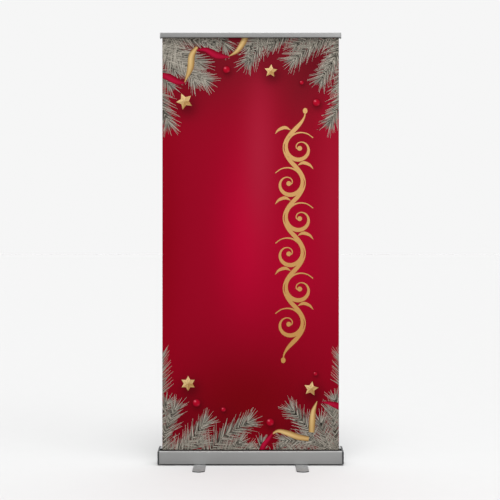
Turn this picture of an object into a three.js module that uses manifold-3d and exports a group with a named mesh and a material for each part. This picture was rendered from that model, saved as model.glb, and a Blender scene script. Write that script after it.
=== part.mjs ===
// Roll-up banner stand. A spring roller in an aluminium cassette lets a printed film out through a slot
// in the cassette's top. The film's top edge hangs in a rail, and the rail sits on the hook of a
// telescopic pole that stands in a socket at the cassette's back. Two flat feet swivel under the cassette.
//
// Millimetres, +Z up, +X to the banner's right as seen from the front, -Y towards the viewer.
// The origin is on the floor, midway between the two foot pivots.

import * as THREE from "three";
import { mergeVertices } from "three/addons/utils/BufferGeometryUtils.js";
import Module from "manifold-3d";

const wasm = await Module();
wasm.setup();

// ---------------------------------------------------------------------------------------------------
// Driving dimensions
// ---------------------------------------------------------------------------------------------------

const fit = 0.3; // gap between pieces that touch on the real object

// Film and rail
const bannerWidth = 850;
const filmThickness = 0.4;
const filmY = -2.5; // the plane that the film hangs in
const railBottomZ = 2049.5;
const railHeight = 24;
const railLength = 864;
const railFrontY = -12.2;
const railRearY = 8.2;

// Feet
const footLength = 336;
const footWidth = 57.5;
const footThickness = 5;
const footSpacing = 484; // from pivot to pivot
const footTipRadius = 38;

// Cassette
const cassetteLength = 872;
const cassetteFrontY = -46;
const cassetteRearY = 44;
const cassetteBottomZ = 6.5;
const frontLipZ = 67;
const ledgeZ = 73;
const slotFrontY = -26;
const slotRearY = 4;
const wall = 2;
const capThickness = 8;

// Roller
const rollerY = -20;
const rollerZ = 34;
const rollerRadius = 15;
const rollerWall = 1.5;
const axleRadius = 4;

// Pole
const poleY = 26;
const poleWall = 1;
const lowerTube = { radius: 9.5, bottom: 17, top: 740 };
const middleTube = { radius: 8.1, bottom: 676, top: 1396 };
const upperTube = { radius: 6.7, bottom: 1332, top: 2036.5 };
const tubeSides = 24;

// ---------------------------------------------------------------------------------------------------
// Materials
// ---------------------------------------------------------------------------------------------------

function paint(color, roughness, metalness) {
  return new THREE.MeshStandardMaterial({ color, roughness, metalness });
}
const satinAluminium = paint(0xa0a09e, 0.38, 0.9);
const footMetal = paint(0x8a8d8c, 0.45, 0.7);
const darkPlastic = paint(0x46484a, 0.55, 0);
const greyPlastic = paint(0x7c7e7d, 0.5, 0);
const blackNylon = paint(0x1c1c1e, 0.6, 0);
const whiteNylon = paint(0xd8d8d2, 0.5, 0);
const brightSteel = paint(0xb4b6b8, 0.3, 1);
const printedFilm = paint(0x8a0a1c, 0.45, 0);
const greyFilm = paint(0x3c3d40, 0.6, 0);

// ---------------------------------------------------------------------------------------------------
// Solid modelling helpers
// ---------------------------------------------------------------------------------------------------

// A closed three.js geometry as a manifold-3d solid with its faces pointing out.
function solid(geometry) {
  const bare = geometry.clone();
  bare.deleteAttribute("normal");
  bare.deleteAttribute("uv");
  const merged = mergeVertices(bare, 1e-4);
  const vertProperties = new Float32Array(merged.attributes.position.array);
  const triVerts = new Uint32Array(merged.index.array);
  const made = new wasm.Manifold(new wasm.Mesh({ numProp: 3, vertProperties, triVerts }));
  if (made.volume() > 0) return made;
  return new wasm.Manifold(new wasm.Mesh({ numProp: 3, vertProperties, triVerts: triVerts.reverse() }));
}

// A solid's surface as a three.js geometry.
function surface(body) {
  const mesh = body.getMesh();
  const geometry = new THREE.BufferGeometry();
  geometry.setAttribute("position", new THREE.BufferAttribute(mesh.vertProperties, 3));
  geometry.setIndex(new THREE.BufferAttribute(mesh.triVerts, 1));
  geometry.computeVertexNormals();
  return geometry;
}

const join = (first, ...rest) => rest.reduce((sum, body) => sum.add(body), first);
const cut = (first, ...rest) => rest.reduce((left, body) => left.subtract(body), first);

// An outline in the (Y, Z) plane, drawn out along X from x0 to x1.
const alongXAxis = new THREE.Matrix4().makeBasis(
  new THREE.Vector3(0, 1, 0),
  new THREE.Vector3(0, 0, 1),
  new THREE.Vector3(1, 0, 0),
);
function drawnAlongX(shape, x0, x1, curveSegments = 8) {
  const geometry = new THREE.ExtrudeGeometry(shape, { depth: x1 - x0, bevelEnabled: false, curveSegments });
  return solid(geometry.applyMatrix4(alongXAxis).translate(x0, 0, 0));
}

// An outline in the (X, Y) plane, drawn out along Z from z0 to z1.
function drawnAlongZ(shape, z0, z1, curveSegments = 8) {
  const geometry = new THREE.ExtrudeGeometry(shape, { depth: z1 - z0, bevelEnabled: false, curveSegments });
  return solid(geometry.translate(0, 0, z0));
}

function block([x0, x1], [y0, y1], [z0, z1]) {
  const geometry = new THREE.BoxGeometry(x1 - x0, y1 - y0, z1 - z0);
  return solid(geometry.translate((x0 + x1) / 2, (y0 + y1) / 2, (z0 + z1) / 2));
}

// A body of revolution about the vertical line through (x, y). The profile is a list of [radius, z].
function turnedAboutZ(profile, x, y, sides = tubeSides) {
  const closed = [...profile, profile[0]].map(([r, z]) => new THREE.Vector2(r, z));
  return solid(new THREE.LatheGeometry(closed, sides).rotateX(Math.PI / 2).translate(x, y, 0));
}

// A body of revolution about the line along X through (y, z). The profile is a list of [radius, x].
function turnedAboutX(profile, y, z, sides = tubeSides) {
  const closed = [...profile, profile[0]].map(([r, x]) => new THREE.Vector2(r, x));
  return solid(new THREE.LatheGeometry(closed, sides).rotateZ(-Math.PI / 2).translate(0, y, z));
}

const rodAlongX = (radius, x0, x1, y, z, sides) =>
  turnedAboutX([[0, x0], [radius, x0], [radius, x1], [0, x1]], y, z, sides);
const rodAlongZ = (radius, z0, z1, x, y, sides) =>
  turnedAboutZ([[0, z0], [radius, z0], [radius, z1], [0, z1]], x, y, sides);
const tubeAlongX = (inner, outer, x0, x1, y, z, sides) =>
  turnedAboutX([[inner, x0], [outer, x0], [outer, x1], [inner, x1]], y, z, sides);
const tubeAlongZ = (inner, outer, z0, z1, x, y, sides) =>
  turnedAboutZ([[inner, z0], [outer, z0], [outer, z1], [inner, z1]], x, y, sides);

const mirroredInX = (body) => body.mirror([1, 0, 0]);

const stand = new THREE.Group();

function addPiece(name, body, material) {
  const mesh = new THREE.Mesh(surface(body), material);
  mesh.name = name;
  stand.add(mesh);
}

// ---------------------------------------------------------------------------------------------------
// Cassette: an extruded aluminium shell, open along its top
// ---------------------------------------------------------------------------------------------------

const shoulderRadius = 5;
const heelRadius = 5;
const cornerRadius = 5;
const lipRadius = 3;
const lipDepth = 5;
const riserRadius = 3;
const riserDepth = 4.5;
const frontBulge = 2.4;
const quarter = Math.PI / 2;

// The shell's outside, from the slot's front lip round the front, bottom and back to its rear lip.
function shellPath() {
  const path = new THREE.Path();
  path.moveTo(slotFrontY, frontLipZ - lipDepth);
  path.lineTo(slotFrontY, frontLipZ - lipRadius);
  path.absarc(slotFrontY - lipRadius, frontLipZ - lipRadius, lipRadius, 0, quarter);
  path.absarc(
    cassetteFrontY + shoulderRadius,
    frontLipZ - shoulderRadius,
    shoulderRadius,
    quarter,
    2 * quarter,
  );
  const heelZ = cassetteBottomZ + heelRadius;
  const middleZ = (frontLipZ - shoulderRadius + heelZ) / 2;
  path.quadraticCurveTo(cassetteFrontY - frontBulge, middleZ, cassetteFrontY, heelZ);
  path.absarc(cassetteFrontY + heelRadius, heelZ, heelRadius, 2 * quarter, 3 * quarter);
  path.absarc(
    cassetteRearY - cornerRadius,
    cassetteBottomZ + cornerRadius,
    cornerRadius,
    3 * quarter,
    4 * quarter,
  );
  path.absarc(cassetteRearY - cornerRadius, ledgeZ - cornerRadius, cornerRadius, 0, quarter);
  path.absarc(slotRearY + riserRadius, ledgeZ - riserRadius, riserRadius, quarter, 2 * quarter);
  path.lineTo(slotRearY, ledgeZ - riserDepth);
  return path;
}

// The points moved sideways by a distance, to the left of the way they run.
function movedSideways(points, distance) {
  const direction = (i) => points[i + 1].clone().sub(points[i]).normalize();
  return points.map((point, i) => {
    const into = direction(Math.max(i - 1, 0));
    const out = direction(Math.min(i, points.length - 2));
    const along = into.add(out).normalize();
    const shift = distance / along.dot(out);
    return new THREE.Vector2(point.x - along.y * shift, point.y + along.x * shift);
  });
}

// Points nearer together than this are one corner.
const samePoint = 0.01;
const spacedOut = (points) => points.filter((p, i) => i === 0 || p.distanceTo(points[i - 1]) > samePoint);

const screwPlaces = [
  [cassetteFrontY + 4.8, frontLipZ - 4.8],
  [cassetteRearY - 4.8, ledgeZ - 4.8],
  [cassetteRearY - 4.8, cassetteBottomZ + 4.8],
];
const channelRadius = 3.2;
const channelBore = 1.7;
const nutHalf = 5; // half of the square nut's width
const ribHeight = 5;
const ribThickness = 1.8;
const socketRadius = 11.5;
const boltRadius = 2.9;
const footXs = { left: -footSpacing / 2, right: footSpacing / 2 };

function cassetteHousing() {
  const outside = spacedOut(shellPath().getPoints(5));
  const inside = movedSideways(outside, wall);
  const halfLength = cassetteLength / 2;
  let body = drawnAlongX(new THREE.Shape([...outside, ...inside.reverse()]), -halfLength, halfLength);
  for (const [y, z] of screwPlaces) {
    body = join(body, rodAlongX(channelRadius, -halfLength, halfLength, y, z, 16));
    body = cut(body, rodAlongX(channelBore, -halfLength - 1, halfLength + 1, y, z, 12));
  }
  const floorZ = cassetteBottomZ + wall;
  const ribInside = nutHalf + 2 * fit;
  for (const side of [-1, 1]) {
    const ys = [side * ribInside, side * (ribInside + ribThickness)].sort((a, b) => a - b);
    body = join(body, block([-halfLength, halfLength], ys, [floorZ - wall / 2, floorZ + ribHeight]));
  }
  body = cut(body, rodAlongZ(socketRadius + fit, floorZ + fit / 2, ledgeZ + 10, 0, poleY));
  for (const x of Object.values(footXs)) {
    body = cut(body, rodAlongZ(boltRadius + fit, cassetteBottomZ - 5, cassetteBottomZ + 5, x, 0, 16));
  }
  return body;
}
addPiece("base_housing", cassetteHousing(), satinAluminium);

// ---------------------------------------------------------------------------------------------------
// End caps of the cassette, and the screws that hold them
// ---------------------------------------------------------------------------------------------------

const capInnerX = cassetteLength / 2;
const capOuterX = capInnerX + capThickness;
const capOverhang = 1;
const capBevel = 2.4;
const axleBossRadius = 10;
const axleBossEnd = capInnerX - 4.5;
const axleEnd = capInnerX + 4.7;
const headRadius = 3.8;
const headSeatX = capInnerX + 5;

function endCapRight() {
  const path = shellPath();
  const outline = spacedOut(path.getPoints(5)).slice(1, -1);
  const grown = movedSideways(outline, -capOverhang + capBevel);
  const geometry = new THREE.ExtrudeGeometry(new THREE.Shape(grown), {
    depth: 2 * capThickness - 2 * capBevel,
    bevelThickness: capBevel,
    bevelSize: capBevel,
    bevelSegments: 3,
  });
  const fullBevel = solid(geometry.applyMatrix4(alongXAxis));
  const placed = fullBevel.translate([capOuterX - 2 * capThickness + capBevel, 0, 0]);
  const innerHalf = block([capInnerX - 100, capInnerX + fit / 3], [-200, 200], [-200, 200]);
  let cap = cut(placed, innerHalf);
  cap = join(cap, rodAlongX(axleBossRadius, axleBossEnd, capInnerX + 1, rollerY, rollerZ));
  cap = cut(cap, rodAlongX(axleRadius + fit, axleBossEnd - 1, axleEnd + fit, rollerY, rollerZ));
  for (const [y, z] of screwPlaces) {
    cap = cut(
      cap,
      rodAlongX(2.2, capInnerX - 1, capOuterX + 1, y, z, 12),
      rodAlongX(headRadius + fit, headSeatX, capOuterX + 1, y, z, 16),
    );
  }
  return cap;
}
const rightCap = endCapRight();
addPiece("end_cap_right", rightCap, darkPlastic);
addPiece("end_cap_left", mirroredInX(rightCap), darkPlastic);

// A pan-head screw with a cross recess, its head seated in the cap and its shank in the cassette's channel.
function capScrewRight(y, z) {
  const seat = headSeatX + fit;
  const top = capOuterX - fit;
  const shank = 1.4;
  const tipX = capInnerX - 14;
  const profile = [
    [0, tipX], [shank, tipX + 3], [shank, seat], [headRadius, seat],
    [headRadius, seat + 1.2], [headRadius - 1.2, top], [0, top],
  ];
  const slotHalf = 0.45;
  const reach = 1.9;
  const depth = 1.4;
  return cut(
    turnedAboutX(profile, y, z, 16),
    block([top - depth, top + 1], [y - slotHalf, y + slotHalf], [z - reach, z + reach]),
    block([top - depth, top + 1], [y - reach, y + reach], [z - slotHalf, z + slotHalf]),
  );
}
screwPlaces.forEach(([y, z], i) => {
  const screw = capScrewRight(y, z);
  addPiece(`cap_screw_right_${i + 1}`, screw, brightSteel);
  addPiece(`cap_screw_left_${i + 1}`, mirroredInX(screw), brightSteel);
});

// ---------------------------------------------------------------------------------------------------
// Feet: flat plates with round ends, each on a bolt with a friction washer
// ---------------------------------------------------------------------------------------------------

const footBevel = 0.9;
const washerGap = 0.2;
const countersinkRadius = 5.9;

function footOutline(inset) {
  const half = footWidth / 2 - inset;
  const tip = footLength / 2 - inset;
  const radius = footTipRadius - inset;
  const angle = Math.asin(half / radius);
  const shape = new THREE.Shape();
  shape.absarc(0, tip - radius, radius, quarter - angle, quarter + angle);
  shape.absarc(0, radius - tip, radius, 3 * quarter - angle, 3 * quarter + angle);
  return shape;
}

function foot(x) {
  const geometry = new THREE.ExtrudeGeometry(footOutline(footBevel), {
    depth: footThickness - 2 * footBevel,
    bevelThickness: footBevel,
    bevelSize: footBevel,
    bevelSegments: 2,
    curveSegments: 10,
  });
  const plate = solid(geometry.translate(x, 0, footBevel));
  const sink = turnedAboutZ(
    [[0, -1], [countersinkRadius + 1, -1], [boltRadius + fit, 4.2], [0, 4.2]],
    x,
    0,
    20,
  );
  return cut(plate, sink, rodAlongZ(boltRadius + fit, -1, footThickness + 1, x, 0, 20));
}

function pivotBolt(x) {
  const headZ = 0.5;
  const shankZ = 3.9;
  const topZ = cassetteBottomZ + wall + ribHeight + 1;
  const profile = [[0, headZ], [5.4, headZ], [boltRadius, shankZ], [boltRadius, topZ], [0, topZ]];
  const hexagon = rodAlongZ(2.3, headZ - 1, headZ + 2, x, 0, 6);
  return cut(turnedAboutZ(profile, x, 0, 20), hexagon);
}

function pivotNut(x) {
  const bottomZ = cassetteBottomZ + wall + fit;
  const half = nutHalf;
  const cube = block([x - half, x + half], [-half, half], [bottomZ, bottomZ + ribHeight - fit]);
  return cut(cube, rodAlongZ(boltRadius + fit, bottomZ - 1, bottomZ + ribHeight + 1, x, 0, 20));
}

for (const [side, x] of Object.entries(footXs)) {
  const washerTop = cassetteBottomZ - washerGap;
  addPiece(`foot_${side}`, foot(x), footMetal);
  addPiece(
    `pivot_washer_${side}`,
    tubeAlongZ(boltRadius + fit, 10, footThickness + washerGap, washerTop, x, 0),
    whiteNylon,
  );
  addPiece(`pivot_bolt_${side}`, pivotBolt(x), brightSteel);
  addPiece(`pivot_nut_${side}`, pivotNut(x), brightSteel);
}

// ---------------------------------------------------------------------------------------------------
// Roller, its plugs, axles and torsion spring
// ---------------------------------------------------------------------------------------------------

const rollerHalf = 429;
const rollerBore = rollerRadius - rollerWall;
const plugRadius = rollerBore - fit;
const plugInnerX = rollerHalf - 24;
const plugFlangeX = rollerHalf + fit;
const plugOuterX = axleBossEnd - fit;
const spigotRadius = 8.5;

addPiece(
  "roller_tube",
  tubeAlongX(rollerBore, rollerRadius, -rollerHalf, rollerHalf, rollerY, rollerZ, 32),
  satinAluminium,
);

// The plug for the right end; a spigot on its inner face carries the spring's outer end.
function rollerPlug(spigotEnd) {
  const bore = axleRadius + fit;
  const profile = [
    [bore, spigotEnd], [spigotRadius, spigotEnd], [spigotRadius, plugInnerX], [plugRadius, plugInnerX],
    [plugRadius, plugFlangeX], [rollerRadius, plugFlangeX], [rollerRadius, plugOuterX], [bore, plugOuterX],
  ];
  return turnedAboutX(profile, rollerY, rollerZ);
}
addPiece("roller_plug_right", rollerPlug(plugInnerX - 20), blackNylon);
addPiece("roller_plug_left", mirroredInX(rollerPlug(plugInnerX - 4)), blackNylon);

const springShaftInnerX = 170;
addPiece("spring_shaft", rodAlongX(axleRadius, springShaftInnerX, axleEnd, rollerY, rollerZ), brightSteel);
addPiece("idler_pin", rodAlongX(axleRadius, -axleEnd, -(plugInnerX + 2), rollerY, rollerZ), brightSteel);
addPiece(
  "spring_anchor",
  tubeAlongX(axleRadius + fit, spigotRadius, springShaftInnerX + 2, springShaftInnerX + 26, rollerY, rollerZ),
  blackNylon,
);

class HelixCurve extends THREE.Curve {
  constructor(radius, x0, x1, turns) {
    super();
    Object.assign(this, { radius, x0, x1, turns });
  }
  getPoint(t) {
    const angle = 2 * Math.PI * this.turns * t;
    return new THREE.Vector3(
      this.x0 + (this.x1 - this.x0) * t,
      rollerY + this.radius * Math.cos(angle),
      rollerZ + this.radius * Math.sin(angle),
    );
  }
}

function torsionSpring() {
  const coilRadius = 10.7;
  const wireRadius = 0.9;
  const turns = 24;
  const stepsPerTurn = 8;
  const wireSides = 4;
  const helix = new HelixCurve(coilRadius, springShaftInnerX + 8, plugInnerX - 5, turns);
  const section = new THREE.Shape();
  for (let i = 0; i < wireSides; i++) {
    const angle = (2 * Math.PI * i) / wireSides;
    const point = [wireRadius * Math.cos(angle), wireRadius * Math.sin(angle)];
    if (i) section.lineTo(...point);
    else section.moveTo(...point);
  }
  return solid(new THREE.ExtrudeGeometry(section, { steps: stepsPerTurn * turns, extrudePath: helix }));
}
addPiece("torsion_spring", torsionSpring(), brightSteel);

// The film and leader that stay on the roller when the banner is up: a closed spiral strip.
function woundFilm() {
  const turns = 3;
  const perTurn = 24;
  const startRadius = rollerRadius + 0.35;
  const pitch = 0.45;
  const thickness = 0.35;
  const spiral = (extra) =>
    Array.from({ length: turns * perTurn + 1 }, (_, i) => {
      const angle = (2 * Math.PI * i) / perTurn;
      const radius = startRadius + (pitch * i) / perTurn + extra;
      return new THREE.Vector2(rollerY + radius * Math.cos(angle), rollerZ + radius * Math.sin(angle));
    });
  const outline = [...spiral(thickness), ...spiral(0).reverse()];
  return drawnAlongX(new THREE.Shape(outline), -bannerWidth / 2, bannerWidth / 2);
}
addPiece("wound_film", woundFilm(), greyFilm);

// ---------------------------------------------------------------------------------------------------
// Banner film, top rail and its caps
// ---------------------------------------------------------------------------------------------------

// Places in the rail's section, above its bottom face.
const pocketFloor = 3.5;
const pocketTop = 9.5;
const pocketYs = [-6.2, 0.9];
const pocketMouthYs = [-3.7, -1.3];
const grooveYs = [2.5, 6.5];
const grooveDepth = 16;
const chamberYs = [-10.4, 0.7];
const chamberZs = [11.3, 22.2];
const railCorner = 3.2;

function railSection() {
  const top = railHeight;
  const shape = new THREE.Shape();
  shape.moveTo(railFrontY + railCorner, 0);
  for (const [[y0, y1], [inY0, inY1], floor, roof] of [
    [pocketMouthYs, pocketYs, pocketFloor, pocketTop],
    [grooveYs, grooveYs, grooveDepth / 2, grooveDepth],
  ]) {
    shape.lineTo(y0, 0);
    shape.lineTo(y0, floor);
    if (inY0 !== y0) shape.lineTo(inY0, floor);
    shape.lineTo(inY0, roof);
    shape.lineTo(inY1, roof);
    if (inY1 !== y1) shape.lineTo(inY1, floor);
    shape.lineTo(y1, floor);
    shape.lineTo(y1, 0);
  }
  shape.lineTo(railRearY, 0);
  shape.absarc(railRearY - railCorner, top - railCorner, railCorner, 0, quarter);
  shape.absarc(railFrontY + railCorner, top - railCorner, railCorner, quarter, 2 * quarter);
  shape.absarc(railFrontY + railCorner, railCorner, railCorner, 2 * quarter, 3 * quarter);
  const chamber = new THREE.Path();
  chamber.moveTo(chamberYs[0], chamberZs[0]);
  chamber.lineTo(chamberYs[0], chamberZs[1]);
  chamber.lineTo(chamberYs[1], chamberZs[1]);
  chamber.lineTo(chamberYs[1], chamberZs[0]);
  shape.holes.push(chamber);
  return shape;
}
const railBody = drawnAlongX(railSection(), -railLength / 2, railLength / 2, 4);
addPiece("top_rail", railBody.translate([0, 0, railBottomZ]), satinAluminium);

function railCapRight() {
  const thickness = 4;
  const overhang = { sides: 1.3, top: 0.8, bottom: 3 };
  const radius = railCorner + overhang.sides;
  const [y0, y1] = [railFrontY - overhang.sides, railRearY + overhang.sides];
  const [z0, z1] = [railBottomZ - overhang.bottom, railBottomZ + railHeight + overhang.top];
  const shape = new THREE.Shape();
  shape.absarc(y1 - radius, z1 - radius, radius, 0, quarter);
  shape.absarc(y0 + radius, z1 - radius, radius, quarter, 2 * quarter);
  shape.absarc(y0 + radius, z0 + radius, radius, 2 * quarter, 3 * quarter);
  shape.absarc(y1 - radius, z0 + radius, radius, 3 * quarter, 4 * quarter);
  const innerX = railLength / 2 + fit / 3;
  const spigotYs = [chamberYs[0] + fit, chamberYs[1] - fit];
  const spigotZs = [railBottomZ + chamberZs[0] + fit, railBottomZ + chamberZs[1] - fit];
  const spigot = block([innerX - 14, innerX + 1], spigotYs, spigotZs);
  return join(drawnAlongX(shape, innerX, innerX + thickness, 5), spigot);
}
const rightRailCap = railCapRight();
addPiece("rail_cap_right", rightRailCap, greyPlastic);
addPiece("rail_cap_left", mirroredInX(rightRailCap), greyPlastic);

const filmTopZ = railBottomZ + pocketTop - 1;
const filmYs = [filmY - filmThickness / 2, filmY + filmThickness / 2];
addPiece(
  "banner_film",
  block([-bannerWidth / 2, bannerWidth / 2], filmYs, [rollerZ, filmTopZ]),
  printedFilm,
);
addPiece(
  "hanger_strip",
  block(
    [-bannerWidth / 2 + 1, bannerWidth / 2 - 1],
    [filmYs[1] + fit, pocketYs[1] - fit],
    [railBottomZ + pocketFloor + fit, railBottomZ + pocketTop - fit],
  ),
  whiteNylon,
);

// ---------------------------------------------------------------------------------------------------
// Pole: socket, three telescopic tubes, two lever clamps and the hook
// ---------------------------------------------------------------------------------------------------

function poleSocket() {
  const bore = lowerTube.radius + fit;
  const bottom = cassetteBottomZ + wall + 0.5;
  const floor = lowerTube.bottom - 3 - fit;
  const flange = ledgeZ + fit;
  return turnedAboutZ(
    [
      [0, bottom], [socketRadius, bottom], [socketRadius, flange], [socketRadius + 3.5, flange],
      [socketRadius + 3.5, flange + 1.4], [socketRadius + 2.9, flange + 2], [bore, flange + 2],
      [bore, floor], [0, floor],
    ],
    0,
    poleY,
  );
}
addPiece("pole_socket", poleSocket(), blackNylon);

for (const [name, tube] of Object.entries({
  pole_tube_lower: lowerTube,
  pole_tube_middle: middleTube,
  pole_tube_upper: upperTube,
})) {
  const { radius, bottom, top } = tube;
  addPiece(name, tubeAlongZ(radius - poleWall, radius, bottom, top, 0, poleY), satinAluminium);
}

// A plug in a tube's lower end, with a rim below the tube that is a little larger or smaller than it.
function tubePlug(tube, rimRadius, rimHeight, depth) {
  const spigot = tube.radius - poleWall - fit;
  const rimTop = tube.bottom - fit / 3;
  const rimBottom = tube.bottom - rimHeight;
  const top = tube.bottom + depth;
  const profile = [
    [0, rimBottom], [rimRadius, rimBottom], [rimRadius, rimTop], [spigot, rimTop], [spigot, top], [0, top],
  ];
  return turnedAboutZ(profile, 0, poleY);
}
addPiece("pole_foot_plug", tubePlug(lowerTube, lowerTube.radius, 3, 22), blackNylon);
addPiece("pole_guide_middle", tubePlug(middleTube, lowerTube.radius - poleWall - fit, 4, 16), blackNylon);
addPiece("pole_guide_upper", tubePlug(upperTube, middleTube.radius - poleWall - fit, 4, 16), blackNylon);

// A lever clamp where an inner tube slides out of an outer one. The lever turns on an upright pin.
const clampHeight = 34;
const clampOverlap = 24; // how far the collar reaches down the outer tube
const collarWall = 3.4;
const knuckleRadius = 4;
const pinRadius = 2;
const pinAngle = (140 * Math.PI) / 180;
const leverEndAngle = (15 * Math.PI) / 180;
const leverThickness = 3.4;
const earHeight = 7;

function leverClamp(label, outerTube, innerTube) {
  const bottom = outerTube.top - clampOverlap;
  const top = bottom + clampHeight;
  const step = outerTube.top + fit;
  const radius = outerTube.radius + collarWall;
  const pinDistance = radius + knuckleRadius;
  const pinX = pinDistance * Math.cos(pinAngle);
  const pinY = poleY + pinDistance * Math.sin(pinAngle);
  const earZs = [
    [bottom + 1, bottom + earHeight],
    [top - earHeight, top - 1],
  ];

  // The ear runs from the collar to the pin, in the direction of the pin.
  const ear = ([z0, z1]) => {
    const arm = block([radius - 2, pinDistance], [-knuckleRadius, knuckleRadius], [z0, z1]);
    const turned = arm.rotate([0, 0, (pinAngle * 180) / Math.PI]).translate([0, poleY, 0]);
    return join(turned, rodAlongZ(knuckleRadius, z0, z1, pinX, pinY));
  };
  const pinHole = rodAlongZ(pinRadius + fit, bottom - 1, top + 1, pinX, pinY, 16);
  const ring = turnedAboutZ(
    [[outerTube.radius + fit, bottom], [radius - 0.8, bottom], [radius, bottom + 0.8], [radius, top - 0.8],
      [radius - 0.8, top], [innerTube.radius + fit, top], [innerTube.radius + fit, step],
      [outerTube.radius + fit, step]],
    0,
    poleY,
  );
  addPiece(`clamp_collar_${label}`, cut(join(ring, ...earZs.map(ear)), pinHole), blackNylon);
  addPiece(
    `clamp_pin_${label}`,
    rodAlongZ(pinRadius, bottom + 0.5, top - 0.5, pinX, pinY, 16),
    brightSteel,
  );

  // The lever's grip follows the collar from the pin to its free end.
  const gap = 0.6;
  const leverZs = [bottom + earHeight + fit, top - earHeight - fit];
  const grip = new THREE.Shape();
  grip.absarc(0, poleY, radius + gap + leverThickness, leverEndAngle, pinAngle);
  grip.absarc(0, poleY, radius + gap, pinAngle, leverEndAngle, true);
  const lever = join(
    drawnAlongZ(grip, ...leverZs, 16),
    rodAlongZ(knuckleRadius - 0.6, ...leverZs, pinX, pinY),
  );
  addPiece(`clamp_lever_${label}`, cut(lever, pinHole), darkPlastic);
}
leverClamp("lower", lowerTube, middleTube);
leverClamp("upper", middleTube, upperTube);

// The hook: a cap on the pole's top with an arm that reaches forward and a tongue that stands in the
// rail's rear groove.
function poleHook() {
  const capRadius = upperTube.radius + 2.8;
  const armTop = railBottomZ - 0.6;
  const armBottom = upperTube.top + fit / 3;
  const tongueYs = [grooveYs[0] + fit + 0.1, grooveYs[1] - fit - 0.1];
  const tongueTop = railBottomZ + grooveDepth - fit;
  const tongueHalf = 15;
  const plan = new THREE.Shape();
  plan.moveTo(-tongueHalf, tongueYs[0]);
  plan.lineTo(tongueHalf, tongueYs[0]);
  plan.lineTo(tongueHalf, tongueYs[1]);
  plan.lineTo(capRadius, poleY);
  plan.absarc(0, poleY, capRadius, 0, Math.PI);
  plan.lineTo(-tongueHalf, tongueYs[1]);
  const spigotRadiusInTube = upperTube.radius - poleWall - fit;
  return join(
    drawnAlongZ(plan, armBottom, armTop, 12),
    block([-tongueHalf, tongueHalf], tongueYs, [armTop - 1, tongueTop]),
    rodAlongZ(spigotRadiusInTube, armBottom - 25, armBottom + 1, 0, poleY),
  );
}
addPiece("pole_hook", poleHook(), blackNylon);

export default stand;
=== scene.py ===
import math
import random

import bmesh
import bpy
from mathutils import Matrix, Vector


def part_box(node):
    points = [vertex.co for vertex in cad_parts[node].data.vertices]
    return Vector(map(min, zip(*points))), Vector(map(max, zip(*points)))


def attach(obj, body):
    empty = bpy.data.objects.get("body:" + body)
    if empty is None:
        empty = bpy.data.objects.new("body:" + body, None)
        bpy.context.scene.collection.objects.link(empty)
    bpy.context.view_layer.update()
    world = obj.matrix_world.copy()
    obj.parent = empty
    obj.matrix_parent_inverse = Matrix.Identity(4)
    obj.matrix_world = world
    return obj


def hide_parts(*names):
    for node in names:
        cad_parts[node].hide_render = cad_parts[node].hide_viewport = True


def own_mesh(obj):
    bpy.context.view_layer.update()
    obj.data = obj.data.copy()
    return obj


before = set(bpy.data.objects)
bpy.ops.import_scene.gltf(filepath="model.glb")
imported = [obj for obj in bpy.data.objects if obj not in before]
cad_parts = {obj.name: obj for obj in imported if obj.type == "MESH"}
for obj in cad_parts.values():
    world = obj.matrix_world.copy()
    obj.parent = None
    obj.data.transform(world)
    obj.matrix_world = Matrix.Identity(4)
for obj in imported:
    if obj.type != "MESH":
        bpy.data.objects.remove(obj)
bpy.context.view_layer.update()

# ------------------------------------------------------------
# Cassette shell. One aluminium extrusion with a 2 mm wall, sawn to length and anodised silver. A slot
# runs along its top for the film, and the ledge behind the slot stands a little above the front lip.
# Three screw channels and two ribs run along its inside, and holes are drilled for pole and foot bolts.
# ------------------------------------------------------------

shell_low, shell_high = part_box("base_housing")
front_bulge = 0.0012
cassette_front = shell_low.y + front_bulge
cassette_rear = shell_high.y
cassette_bottom = shell_low.z
ledge_z = shell_high.z
lip_drop = 0.006
front_lip_z = ledge_z - lip_drop
slot_front, slot_rear = -0.026, 0.004
slot_lip_depth, slot_ledge_depth, slot_corner = 0.005, 0.0045, 0.003
front_corner, rear_corner = 0.0025, 0.005
shell_wall = 0.002
channel_inset, channel_bore, channel_radius = 0.0048, 0.0017, 0.0032
rib_near, rib_far, rib_height = 0.0056, 0.0074, 0.005
socket_radius, foot_bolt_hole = 0.0115, 0.0032
end_gap, fit_gap, past = 0.0002, 0.0003, 0.001
touching = 1e-5
both_ends = (("left", -1), ("right", 1))


def alone(piece):
    """Makes this the one selected and active object."""
    for other in bpy.context.selected_objects:
        other.select_set(False)
    piece.select_set(True)
    bpy.context.view_layer.objects.active = piece


def added(name):
    """The primitive just added, named, with its place and size moved into its mesh."""
    piece = bpy.context.object
    piece.name = piece.data.name = name
    alone(piece)
    bpy.ops.object.transform_apply(location=True, rotation=True, scale=True)
    return piece


def block(name, low, high):
    """A cuboid between two corners."""
    low, high = Vector(low), Vector(high)
    bpy.ops.mesh.primitive_cube_add(size=1, location=(low + high) / 2, scale=high - low)
    return added(name)


def edit(piece):
    """Opens a piece in edit mode."""
    alone(piece)
    bpy.ops.object.mode_set(mode="EDIT")


def done():
    """Closes the open piece."""
    bpy.ops.object.mode_set(mode="OBJECT")


def lies(part, **places):
    """True if every corner of a vertex, edge or face is at the given x, y or z."""
    corners = [part] if isinstance(part, bmesh.types.BMVert) else part.verts
    return all(abs(getattr(v.co, axis) - at) < touching for v in corners for axis, at in places.items())


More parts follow.
